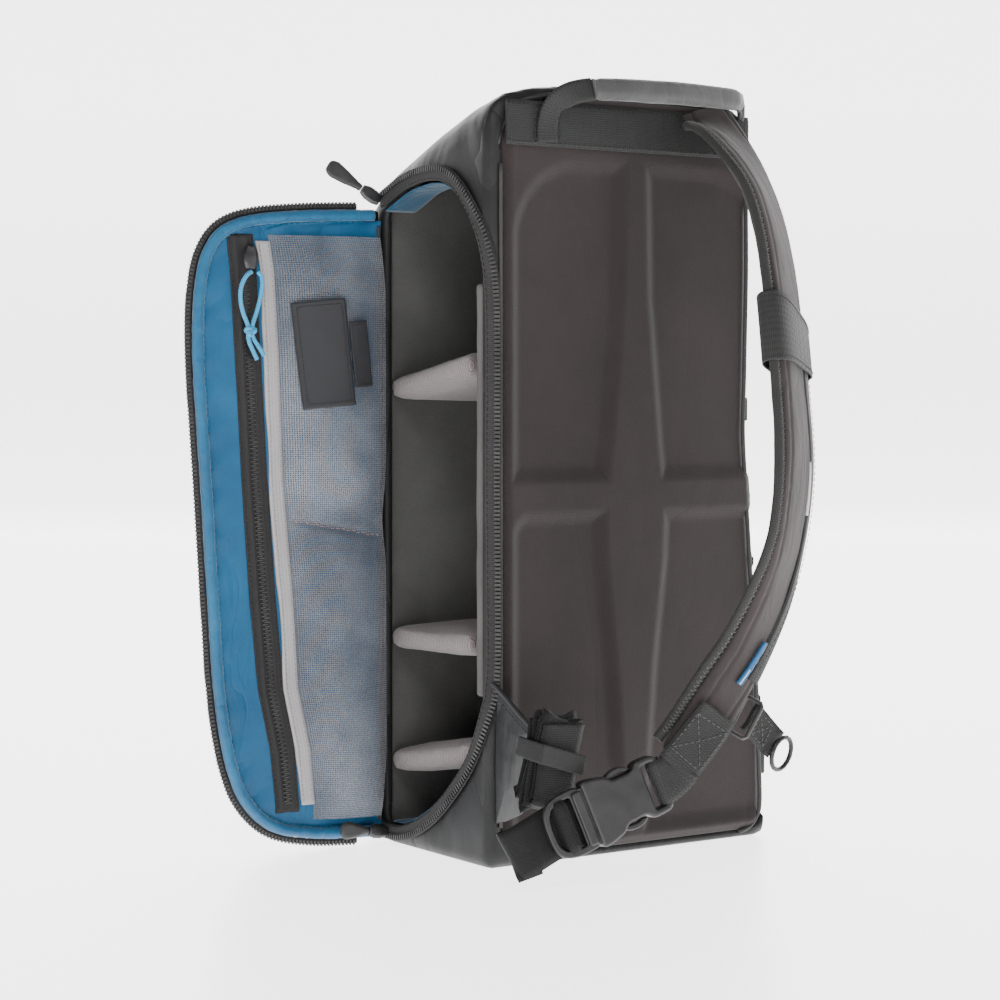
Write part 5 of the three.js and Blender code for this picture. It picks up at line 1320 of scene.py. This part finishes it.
slider_metal = moulded("slider_metal", (0.04, 0.04, 0.042), (0.10, 0.10, 0.105), 0.32, Metallic=0.85)
pull_rubber = moulded("pull_rubber", (0.018, 0.017, 0.017), (0.045, 0.043, 0.043), 0.5, depth=0.00006)


def rounded_copy(node, name, voxel, rounds, finish):
    """A hard piece with its edges rounded, remeshed finely enough to keep its slots."""
    made = soft_copy(node, name, voxel, rounds)
    made.data.materials.append(finish)
    return made


for spot in ("top", "foot"):
    rounded_copy(f"slider_{spot}", f"zip_slider_{spot}", 0.0005, 3, slider_metal)
    rounded_copy(f"pull_{spot}", f"leaf_pull_{spot}", 0.0006, 6, pull_rubber)
rounded_copy("pocket_slider", "pocket_runner", 0.0004, 3, slider_metal)

# Shoulder strap: a long foam pad in knit, a folded tape bound round its inner edge with
# zigzag thread, ribbed webbing sewn on its outer face, and an elastic keeper round both.
strap_rows = np.array([
    (45.1, -85.1, 433.4, .97, .074, .232, 0, -.953, .304, 18.6, 1.6), (45.7, -85.9, 431, .962, .098, .255, -.003, -.929, .369, 19, 1.8),
    (46.6, -87.1, 428.4, .934, .192, .3, .004, -.848, .531, 19.4, 2.1), (48.3, -89.4, 425.3, .966, .197, .165, .037, -.741, .67, 20.1, 2.3),
    (49.6, -94.5, 420, .986, .157, -.047, .143, -.684, .716, 21.9, 2.9), (49.9, -103.6, 411.4, .952, .249, -.181, .305, -.687, .659, 24.7, 3.9),
    (50.8, -116.3, 396.8, .897, .367, -.248, .441, -.694, .568, 27.5, 4.6), (51.4, -129.7, 378.4, .837, .45, -.312, .547, -.707, .448, 30.4, 5.2),
    (50, -139, 361.8, .803, .498, -.328, .59, -.744, .315, 30.7, 5.4), (48.1, -146.4, 345, .79, .541, -.287, .605, -.763, .226, 31, 5.5),
    (46.5, -151.7, 328.2, .788, .55, -.278, .606, -.775, .183, 31, 5.5), (44.1, -157.4, 311.9, .78, .536, -.323, .606, -.776, .177, 31, 5.5),
    (41.1, -163.3, 296, .788, .552, -.273, .602, -.784, .153, 31, 5.5), (39.8, -166.9, 280, .799, .579, -.161, .598, -.793, .117, 31, 5.5),
    (39.2, -169.5, 264, .8, .582, -.144, .598, -.794, .113, 31, 5.5), (38.2, -172.7, 248, .801, .574, -.171, .594, -.798, .103, 31, 5.5),
    (36.7, -175.5, 232.1, .8, .571, -.187, .588, -.807, .05, 31, 5.5), (34.3, -177.5, 216.4, .793, .578, -.193, .586, -.81, -.018, 31, 5.5),
    (31.3, -178.6, 200.7, .79, .584, -.188, .579, -.811, -.087, 30.5, 5.5), (27.7, -178.8, 184.9, .792, .582, -.184, .56, -.812, -.162, 29.4, 5.5),
    (23.4, -177.8, 169.4, .822, .534, -.197, .491, -.84, -.229, 26.7, 5.5), (18.4, -175.8, 153.9, .862, .45, -.234, .384, -.88, -.278, 23.6, 5.5),
    (12.2, -172.8, 137.9, .884, .358, -.3, .27, -.916, -.296, 20.7, 5.5), (5, -169.5, 122.1, .882, .241, -.404, .139, -.954, -.265, 18.2, 5.4),
    (-3.8, -166.4, 106.6, .869, .06, -.491, -.028, -.985, -.171, 16.4, 5.1), (-11.6, -164.1, 93.5, .844, -.11, -.524, -.171, -.983, -.068, 15.1, 4.7),
    (-18.2, -162.3, 82.6, .783, -.244, -.572, -.28, -.96, .025, 14.4, 4.2), (-25.3, -160.6, 73.2, .719, -.296, -.629, -.32, -.944, .079, 14, 3.7),
    (-32.6, -158.9, 64.5, .692, -.319, -.647, -.336, -.936, .103, 13.6, 3)])


def strap_at(share):
    """The strap's centre, across, facing, half width and half thickness at a share of it."""
    place = min(max(share, 0), 1) * 28
    k = min(int(place), 27)
    t = place - k
    a, b, c, d = (strap_rows[min(max(k + step, 0), 28)] for step in (-1, 0, 1, 2))
    row = 0.5 * (2 * b + (c - a) * t + (2 * a - 5 * b + 4 * c - d) * t * t + (3 * b - a - 3 * c + d) * t ** 3)
    across, facing = Vector(row[3:6]).normalized(), Vector(row[6:9]).normalized()
    return Vector(row[:3]) / 1000, across, facing, row[9] / 1000, row[10] / 1000


def on_strap(share, sideways, lift):
    """A place on the pad's outer face: sideways off its middle line and lifted off it."""
    centre, across, facing, half, face = strap_at(share)
    height = face * max(0.0, 1 - min(1.0, abs(sideways) / half) ** 4) ** 0.4
    return centre + across * sideways + facing * (height + lift)


pad_rings, pad_sides = 190, 44
builder = bmesh.new()
rings = []
for k in range(pad_rings):
    share = k / (pad_rings - 1)
    centre, across, facing, half, face = strap_at(share)
    close = min(1.0, math.sqrt(max(0.0, min(k, pad_rings - 1 - k) / 3)) * 0.5 + 0.5)
    ring = []
    for s in range(pad_sides):
        turn = s / pad_sides * math.tau
        wide = math.copysign(abs(math.cos(turn)) ** 0.5, math.cos(turn)) * half * close
        tall = math.copysign(abs(math.sin(turn)) ** 0.8, math.sin(turn)) * face * close
        ring.append(builder.verts.new(centre + across * wide + facing * tall))
    rings.append(ring)
for a, b in zip(rings, rings[1:]):
    for s in range(pad_sides):
        builder.faces.new((a[s], a[(s + 1) % pad_sides], b[(s + 1) % pad_sides], b[s])).smooth = True
builder.faces.new(rings[0][::-1])
builder.faces.new(rings[-1])
bmesh.ops.recalc_face_normals(builder, faces=builder.faces)
pad_mesh = bpy.data.meshes.new("strap_cushion")
builder.to_mesh(pad_mesh)
builder.free()
strap_cushion = bpy.data.objects.new("strap_cushion", pad_mesh)
scene.collection.objects.link(strap_cushion)
blown_up(strap_cushion, 4.0, 14, 0.0009)
finer = strap_cushion.modifiers.new("finer", "SUBSURF")
finer.levels = finer.render_levels = 1
settle(strap_cushion)
strap_cushion.data.shade_smooth()
pad_knit = cloth_finish("pad_knit", (0.022, 0.0166, 0.0168), (0.042, 0.032, 0.032), 0.88, 0.0010, 0.0002,
                        crease=0.0018, crease_size=22.0, wear=0.5, Sheen_Weight=0.12, Sheen_Roughness=0.6)
seam_centres = np.array([list(strap_at(k / 390)[0]) for k in range(391)])
seam_sides = np.array([list(strap_at(k / 390)[1]) for k in range(391)])
seam_faces = np.array([list(strap_at(k / 390)[2]) for k in range(391)])
seam_halves = np.array([strap_at(k / 390)[3] for k in range(391)])


def pad_seams(points, normals):
    shift = np.zeros(len(points))
    for low in range(0, len(points), 4000):
        part = points[low:low + 4000]
        nearest = ((part[:, None, :] - seam_centres[None]) ** 2).sum(2).argmin(1)
        offset = part - seam_centres[nearest]
        sideways = (offset * seam_sides[nearest]).sum(1)
        outer = (offset * seam_faces[nearest]).sum(1) > 0
        inset = seam_halves[nearest] - np.abs(sideways)
        row = np.exp(-((inset - 0.0065) / 0.0011) ** 2) * outer
        shift[low:low + 4000] = -0.0008 * row
    return shift + rumple(points, 0.028, 14) * 0.0006 + rumple(points, 0.009, 15) * 0.00015


press(strap_cushion, pad_seams)
strap_cushion.data.materials.append(pad_knit)
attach(strap_cushion, "root")
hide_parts("strap_pad")

bound_line, bound_ways = [], []
for k in range(260):
    centre, across, facing, half, face = strap_at(0.1 + 0.885 * k / 259)
    bound_line.append(centre - across * (half + 0.0034))
    bound_ways.append(facing)
edge_tape = webbing_finish("edge_tape", (0.010, 0.0096, 0.0094), (0.04, 0.0386, 0.0376), rib=0.0013, warp=0.0012,
                           depth=0.0002)
strap_edge = swept_tube("strap_edge", bound_line, 0.0031, edge_tape, sides=14,
                        flat=0.8, facing=bound_ways)
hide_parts("strap_binding")
zigzag_rows = []
for k in range(2, 255):
    side, next_side = (0.0021, -0.0019) if k % 2 else (-0.0019, 0.0021)
    spots = []
    for step, sway in ((k, side), (k + 1, next_side)):
        centre, across, facing, half, face = strap_at(0.1 + 0.885 * step / 259)
        spots.append(centre - across * (half + 0.0033 - sway) + facing * 0.0026)
    zigzag_rows.append((spots, facing))
strap_zigzag = stitch_rows("strap_zigzag", zigzag_rows, thread_pale, long=0.0026, gap=0.0004, thick=0.00034)


def ribbon_side(share, half):
    """The webbing's inner edge, sideways off the pad's middle line, at a share of the pad."""
    return half - 0.025 * (0.86 - 0.40 * (share - 0.393) / 0.446)


def round_strap(share, turn, lift):
    """A place on the pad's outside at a turn from its outer edge, lifted off it."""
    centre, across, facing, half, face = strap_at(share)
    wide = math.copysign(abs(math.cos(turn)) ** 0.5, math.cos(turn)) * (half + lift)
    tall = math.copysign(abs(math.sin(turn)) ** 0.8, math.sin(turn)) * (face + lift)
    return centre + across * wide + facing * tall


ribbon_spots = []
for r in range(260):
    share = 0.393 + 0.446 * r / 259
    half = strap_at(share)[3]
    inner = math.acos(min(1, max(0, ribbon_side(share, half) / (half + 0.0012))) ** 2)
    ribbon_spots.append([round_strap(share, inner * (1 - c / 16) - 0.1 * c / 16, 0.0014) for c in range(17)])
strap_ribbon = grid_sheet("strap_ribbon", ribbon_spots,
                          lambda r, c: (ribbon_spots[r][c] - strap_at(0.393 + 0.446 * r / 259)[0]).normalized() * 0.0015,
                          grey_webbing, "strap_webbing", run=lambda r, c: (r * 0.0009, c * 0.0012))
ribbon_sewing, ribbon_shine = [], []
for share in np.linspace(0.40, 0.83, 120):
    half = strap_at(share)[3]
    inner = math.acos(min(1, max(0, (ribbon_side(share, half) + 0.002) / (half + 0.003))) ** 2)
    ribbon_sewing.append(round_strap(share, inner, 0.0030))
    if 0.57 < share < 0.64:
        shine_turn = math.acos(min(1, (ribbon_side(share, half) - 0.0014) / half) ** 2)
        ribbon_shine.append(round_strap(share, shine_turn, 0.0009))
strap_ribbon_stitches = stitch_rows("strap_ribbon_stitches", [(ribbon_sewing, strap_at(0.6)[2])], thread_dark)
shine_cloth = cloth_finish("shine_cloth", (0.55, 0.56, 0.57), (0.8, 0.81, 0.82), 0.35, 0.0006, 0.00005)
strap_shine = swept_tube("strap_shine", ribbon_shine, 0.0009, shine_cloth)

elastic_weave = webbing_finish("elastic_weave", (0.009, 0.0092, 0.009), (0.036, 0.0372, 0.0355), rib=0.0021, warp=0.0026,
                               depth=0.0003)
keeper_spots = []
for r in range(40):
    share = (11 + 2 * r / 39) / 28
    centre, across, facing, half, face = strap_at(share)
    row = []
    for s in range(61):
        turn = s / 60 * math.tau
        wide = math.copysign(abs(math.cos(turn)) ** 0.5, math.cos(turn))
        tall = math.copysign(abs(math.sin(turn)) ** 0.8, math.sin(turn))
        reach = half + (0.0040 if wide > 0 else 0.0071)
        row.append(centre + across * wide * reach + facing * tall * (face + 0.0040))
    keeper_spots.append(row)
strap_band = grid_sheet("strap_band", keeper_spots,
                        lambda r, c: (keeper_spots[r][c] - strap_at((11 + 2 * r / 39) / 28)[0]).normalized() * 0.0015,
                        elastic_weave, "strap_keeper", run=lambda r, c: (c * 0.0026, r * 0.00078))
band_edges = []
for r in (3, 36):
    band_edges.append(([keeper_spots[r][c] + strap_at((11 + 2 * r / 39) / 28)[2] * 0.0002 for c in range(3, 28)],
                       strap_at((11 + 2 * r / 39) / 28)[2]))
strap_band_stitches = stitch_rows("strap_band_stitches", band_edges, thread_dark)

tab_cloth = cloth_finish("tab_cloth", (0.004, 0.05, 0.14), (0.01, 0.10, 0.24), 0.35, 0.0006, 0.00008)
tab_highlight_paint = cloth_finish("tab_highlight_paint", (0.35, 0.45, 0.55), (0.6, 0.68, 0.75), 0.4, 0.0006, 0.00006)
edge_tab = rounded_copy("strap_tab", "edge_tab", 0.0007, 2, tab_cloth)
# A thin pale tube along the tab's edge: a painted highlight where the tab's rim catches the light.
tab_line = []
for share in np.linspace(0.830, 0.849, 14):
    centre, across, facing, half, face = strap_at(share)
    tab_line.append(on_strap(share, ribbon_side(share, half) - 0.0050, 0.0029))
tab_highlight = swept_tube("tab_highlight", tab_line, 0.0007, tab_highlight_paint)

# Buckle: a moulded side release buckle. Its socket is sewn to the strap's end by a bar,
# its plug clips in with two arms that show at the sides, and holds the hip webbing.
buckle_base = Vector((-0.03794, -0.15958, 0.05805))
buckle_along = Vector((-0.9098, 0.2062, -0.3603)).normalized()
buckle_down = Vector((0.3022, -0.2071, -0.9305)).normalized()
buckle_out = buckle_along.cross(buckle_down).normalized()


def on_buckle(along, down, out):
    """A place in the buckle's own frame, given in millimetres."""
    return buckle_base + (buckle_along * along + buckle_down * down + buckle_out * out) / 1000


def rounded_outline(points, radius):
    """A closed outline with each corner turned into a short arc."""
    spots = [Vector(p) for p in points]
    made = []
    for k, corner in enumerate(spots):
        before, after = spots[k - 1] - corner, spots[(k + 1) % len(spots)] - corner
        cut = min(radius, before.length * 0.45, after.length * 0.45)
        a, b = corner + before.normalized() * cut, corner + after.normalized() * cut
        for step in range(5):
            t = step / 4
            made.append(a * (1 - t) ** 2 + corner * 2 * t * (1 - t) + b * t * t)
    return made


def moulded_plate(name, outline, holes, thickness, centre_out, finish, nodes=(), radius=2.0, bevel=0.9):
    """A moulded plate with rounded edges, from an outline and its holes in millimetres."""
    curve = bpy.data.curves.new(name, "CURVE")
    curve.dimensions = "2D"
    curve.fill_mode = "BOTH"
    curve.extrude = (thickness / 2 - bevel) / 1000
    curve.bevel_depth = bevel / 1000
    curve.bevel_resolution = 2
    curve.offset = -bevel / 1000
    for points, corner in [(outline, radius), *((hole, 1.2) for hole in holes)]:
        spline = curve.splines.new("POLY")
        ring = rounded_outline(points, corner)
        spline.points.add(len(ring) - 1)
        for spot, point in zip(spline.points, ring):
            spot.co = (point.x / 1000, point.y / 1000, 0, 1)
        spline.use_cyclic_u = True
    holder = bpy.data.objects.new(name + "_outline", curve)
    scene.collection.objects.link(holder)
    graph = bpy.context.evaluated_depsgraph_get()
    graph.update()
    mesh = bpy.data.meshes.new_from_object(holder.evaluated_get(graph))
    bpy.data.objects.remove(holder)
    place = Matrix((buckle_along, buckle_down, buckle_out)).transposed().to_4x4()
    place.translation = on_buckle(0, 0, centre_out)
    mesh.transform(place)
    mesh.materials.clear()
    mesh.materials.append(finish)
    made = bpy.data.objects.new(name, mesh)
    scene.collection.objects.link(made)
    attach(made, "root")
    if nodes:
        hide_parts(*nodes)
    return made


def mirrored(run):
    return [*run, *[(a, -d) for a, d in reversed(run)]]


buckle_black = moulded("buckle_black", (0.013, 0.012, 0.0124), (0.027, 0.0252, 0.0256), 0.38, depth=0.00005,
                       scale=1800.0)
socket_body = moulded_plate(
    "socket_body",
    mirrored([(5, 14.0), (7, 15.8), (12, 16.3), (18, 16.2), (21, 12.6), (33, 12.8), (36.5, 16.5), (46, 18.8), (51, 18.9)]),
    [mirrored([(8.4, 12.6), (15.2, 12.6)])], 10, 0, buckle_black, ("buckle_socket",), radius=2.6, bevel=1.5)
for side in (1, -1):
    arm = [(20.5, 14.2), (23.5, 16.6), (27.5, 17.6), (32.5, 17.0), (37, 15.0), (37, 13.0), (31, 14.2), (26.5, 14.6), (23, 13.2)]
    moulded_plate(f"plug_arm_{'left' if side > 0 else 'right'}", [(a, d * side) for a, d in arm], [], 5.4, 0,
                  buckle_black, radius=1.4, bevel=0.8)
plug_body = moulded_plate(
    "plug_body",
    mirrored([(51.6, 17.2), (57, 17.8), (66, 17.6), (72.5, 15.4), (76.2, 11.5), (77.3, 5.5)]),
    [mirrored([(58.6, 14.0), (64.2, 14.0)]), mirrored([(67.2, 13.0), (70.6, 12.0), (73.2, 8.5), (74.0, 3.5)])],
    4.2, 0, buckle_black, ("buckle_plug",), radius=3.0, bevel=0.9)
plug_shoulder = moulded_plate("plug_shoulder", mirrored([(51.6, 15.6), (57.6, 15.2)]), [], 7.6, 0, buckle_black,
                              radius=1.6, bevel=1.1)
plug_step = moulded_plate("plug_step", mirrored([(50.2, 16.4), (53.4, 16.4)]), [], 6.0, 0, tooth_plastic,
                          radius=0.8, bevel=0.6)

end_stations = []
for share in np.linspace(25 / 28, 1, 5):
    centre, across, facing, half, face = strap_at(share)
    end_stations.append((centre + facing * (face + 0.0032), across))
last_spot = strap_at(1)
end_stations.append((((last_spot[0] + last_spot[2] * 0.0062) * 0.45 + on_buckle(-1.2, 0, 1.2) * 0.55) + buckle_out * 0.0014,
                     buckle_down))
end_stations += [(on_buckle(2.6, 0, 4.6), buckle_down), (on_buckle(6.4, 0, 5.6), buckle_down),
                 (on_buckle(9.8, 0, 2.6), buckle_down), (on_buckle(9.6, 0, -2.4), buckle_down),
                 (on_buckle(6.0, 0, -5.4), buckle_down), (on_buckle(0.5, 0, -4.0), buckle_down)]
end_web = framed_ribbon("end_web", even_stations(end_stations, 0.0012), 0.0248, 0.0016, grey_webbing,
                        ("strap_end_web",))


def on_end_web(share, sideways):
    centre, across, facing, half, face = strap_at(share)
    return centre + across * sideways + facing * (face + 0.0041)


end_facing = strap_at(0.95)[2]
low_share, high_share = 0.912, 0.985
end_box = [([on_end_web(low_share, -0.0105), on_end_web(low_share, 0.0105)], end_facing),
           ([on_end_web(high_share, -0.0105), on_end_web(high_share, 0.0105)], end_facing),
           ([on_end_web(s, -0.0105) for s in np.linspace(low_share, high_share, 6)], end_facing),
           ([on_end_web(s, 0.0105) for s in np.linspace(low_share, high_share, 6)], end_facing)]
for turn in (1, -1):
    end_box.append(([on_end_web(low_share + (high_share - low_share) * k / 6, turn * (-0.0105 + 0.0035 * k))
                     for k in range(7)], end_facing))
end_web_stitches = stitch_rows("end_web_stitches", end_box, thread_pale, long=0.0024)

tail_across = Vector((0.45, -0.2, -0.87)).normalized()
tail_spots = [(57.0, 0, -2.9), (60.6, 0, -2.4), (62.6, 0, 1.6), (65.6, 0, 3.6), (68.6, 0, 1.6), (70.6, 0, -2.2), (76, 0.4, -2.8),
              (83, 0.8, -1.4), (90, 1.1, 0.6), (97, 1.8, -0.4), (99.8, 2, -1.6), (100.4, 2, -3.6), (98.6, 2.4, -5.0),
              (94, 3.1, -5.7), (84.35, 4, -6.0)]
tail_fold = framed_ribbon("tail_fold", even_stations([(on_buckle(*spot), tail_across if spot[0] > 76 else buckle_down)
                                                      for spot in tail_spots], 0.0013),
                          0.0292, 0.0016, black_webbing, ("tail_web",),
                          taper=None)

# Spare hip webbing, folded to and fro in an elastic loop, and the coated wing in the
# side seam that carries it. A bead of piping runs along the wing's free edge.
bundle_foot = Vector((-0.1701, 0.1, -0.9803)).normalized()
bundle_across = Vector((0.9445, 0.1469, -0.2938)).normalized()
bundle_stack = bundle_foot.cross(bundle_across).normalized()
bundle_centre = Vector((-0.097, -0.12985, 0.06794))


def on_bundle(foot, across, stack):
    return bundle_centre + (bundle_foot * foot + bundle_across * across + bundle_stack * stack) / 1000


bundle_rows = []
for leg in range(6):
    way = 1 if leg % 2 == 0 else -1
    layer = (leg - 2.5) * 3.0
    for share in (-0.42, -0.28, -0.14, 0.0, 0.14, 0.28, 0.42):
        pinch = 0.62 + 0.75 * abs(way * share + 0.1)
        lean = 1.2 * math.sin(leg * 1.7 + share * 4)
        bundle_rows.append((on_bundle(way * share * 52, lean, layer * pinch), bundle_across))
    if leg < 5:
        for turn in (0.25, 0.5, 0.75):
            pinch = 1.01 if way > 0 else 0.86
            swell = 1.9 + 1.4 * ((leg * 7) % 3)
            bundle_rows.append((on_bundle(way * (0.42 * 52 + math.sin(turn * math.pi) * swell), 0,
                                          (layer + (1 - math.cos(turn * math.pi)) / 2 * 3.0) * pinch), bundle_across))
folded_web = framed_ribbon("folded_web", even_stations(bundle_rows, 0.0014), 0.0294, 0.0014, black_webbing,
                           ("web_bundle",))
held_loop = rounded_copy("bundle_loop", "held_loop", 0.0007, 2,
                         cloth_finish("loop_elastic", (0.012, 0.012, 0.012), (0.035, 0.035, 0.035), 0.75, 0.0011, 0.0002))
wing_cloth = soft_copy("wing", "wing_cloth", 0.0007, 2)
press(wing_cloth, lambda points, normals: rumple(points, 0.02, 16) * 0.0003 + rumple(points, 0.008, 17) * 0.0001)
wing_cloth.data.materials.append(cloth_finish(
    "wing_coating", (0.013, 0.0131, 0.0133), (0.028, 0.0283, 0.029), 0.42, 0.0009, 0.00008, crease=0.0010,
    crease_size=26.0, Coat_Weight=0.25, Coat_Roughness=0.25))
wing_edge = smooth_line([(-0.1008, -0.0797, 0.1056), (-0.1011, -0.0915, 0.0998), (-0.1014, -0.1050, 0.0922),
                         (-0.1012, -0.1190, 0.0846)], 0.002)
wing_piping = swept_tube("wing_piping", wing_edge, 0.0011, seam_piping)
wing_sewing = stitch_rows("wing_sewing", [([p + Vector((-0.0008, 0.0006, -0.0042)) for p in wing_edge],
                                           Vector((-1, 0, 0)))], thread_dark)

# Loop lock, accessory web and ring at the strap's low outer edge: moulded plastic, a
# short web doubled round the ring with a box stitch, and dark plated wire.
ring_wire = moulded("ring_wire", (0.03, 0.0293, 0.029), (0.075, 0.073, 0.071), 0.3, depth=0.00002, Metallic=0.9)
lock_plastic = moulded("lock_plastic", (0.022, 0.0213, 0.021), (0.05, 0.0485, 0.047), 0.38)
loop_lock = rounded_copy("square_ring", "loop_lock", 0.00045, 4, lock_plastic)
round_ring = rounded_copy("accessory_ring", "round_ring", 0.00045, 5, ring_wire)
lock_centre = Vector((0.0167, -0.1596, 0.0884))
lock_along, lock_tall = Vector((0.32, -0.86, -0.39)).normalized(), Vector((0.35, -0.24, 0.9)).normalized()
ring_centre = Vector((0.0379, -0.1649, 0.0654))
web_start = lock_centre + lock_along * 0.0025
to_ring = ring_centre - web_start
web_reach = to_ring.length
web_way = to_ring.normalized()
web_face = web_way.cross(lock_tall).normalized()
web_rows = []
for share, lift in ((0.0, -0.6), (0.05, 1.6), (0.30, 1.9), (0.60, 1.5), (0.80, 1.5), (0.93, 2.2), (1.0, 2.6), (1.06, 0),
                    (1.0, -2.6), (0.93, -2.2), (0.80, -1.5), (0.60, -1.2), (0.30, -1.6), (0.05, -1.8), (0.0, -0.7)):
    end_shift = web_reach - 0.0092
    web_rows.append((web_start + web_way * share * end_shift + web_face * lift / 1000, lock_tall))
lock_web = framed_ribbon("lock_web", even_stations(web_rows, 0.0011), 0.0168, 0.0014, grey_webbing,
                         ("accessory_web",))


def on_lock_web(share, tall, side):
    return web_start + web_way * share * (web_reach - 0.0092) + lock_tall * tall + web_face * side * 0.0026


lock_box = []
for side in (1, -1):
    corners = [(0.22, -0.0062), (0.72, -0.0062), (0.72, 0.0062), (0.22, 0.0062)]
    for (s1, t1), (s2, t2) in [*zip(corners, corners[1:] + corners[:1]), (corners[0], corners[2]), (corners[1], corners[3])]:
        lock_box.append(([on_lock_web(s1, t1, side), on_lock_web(s2, t2, side)], web_face * side))
lock_web_stitches = stitch_rows("lock_web_stitches", lock_box, thread_pale, long=0.002)

# Far side: a stretch pocket with a bound mouth, and two short webbing loops.
pocket_knit = cloth_finish("pocket_knit", (0.03, 0.0305, 0.031), (0.06, 0.061, 0.063), 0.8, 0.0012, 0.00025,
                           crease=0.0025, crease_size=20.0, Sheen_Weight=0.2)
stretch_pocket = soft_copy("side_pocket", "stretch_pocket", 0.0018, 4)
press(stretch_pocket, lambda points, normals: rumple(points * np.array([1, 1, 0.7]), 0.03, 18) * 0.0008)
stretch_pocket.data.materials.append(pocket_knit)
for level, loop_node in (("upper", "side_loop_upper"), ("lower", "side_loop_lower")):
    side_loop = rounded_copy(loop_node, f"{level}_web_loop", 0.0007, 2,
                             cloth_finish(f"{level}_loop_web", (0.02, 0.0205, 0.02), (0.07, 0.072, 0.07), 0.7, 0.0012, 0.00025))
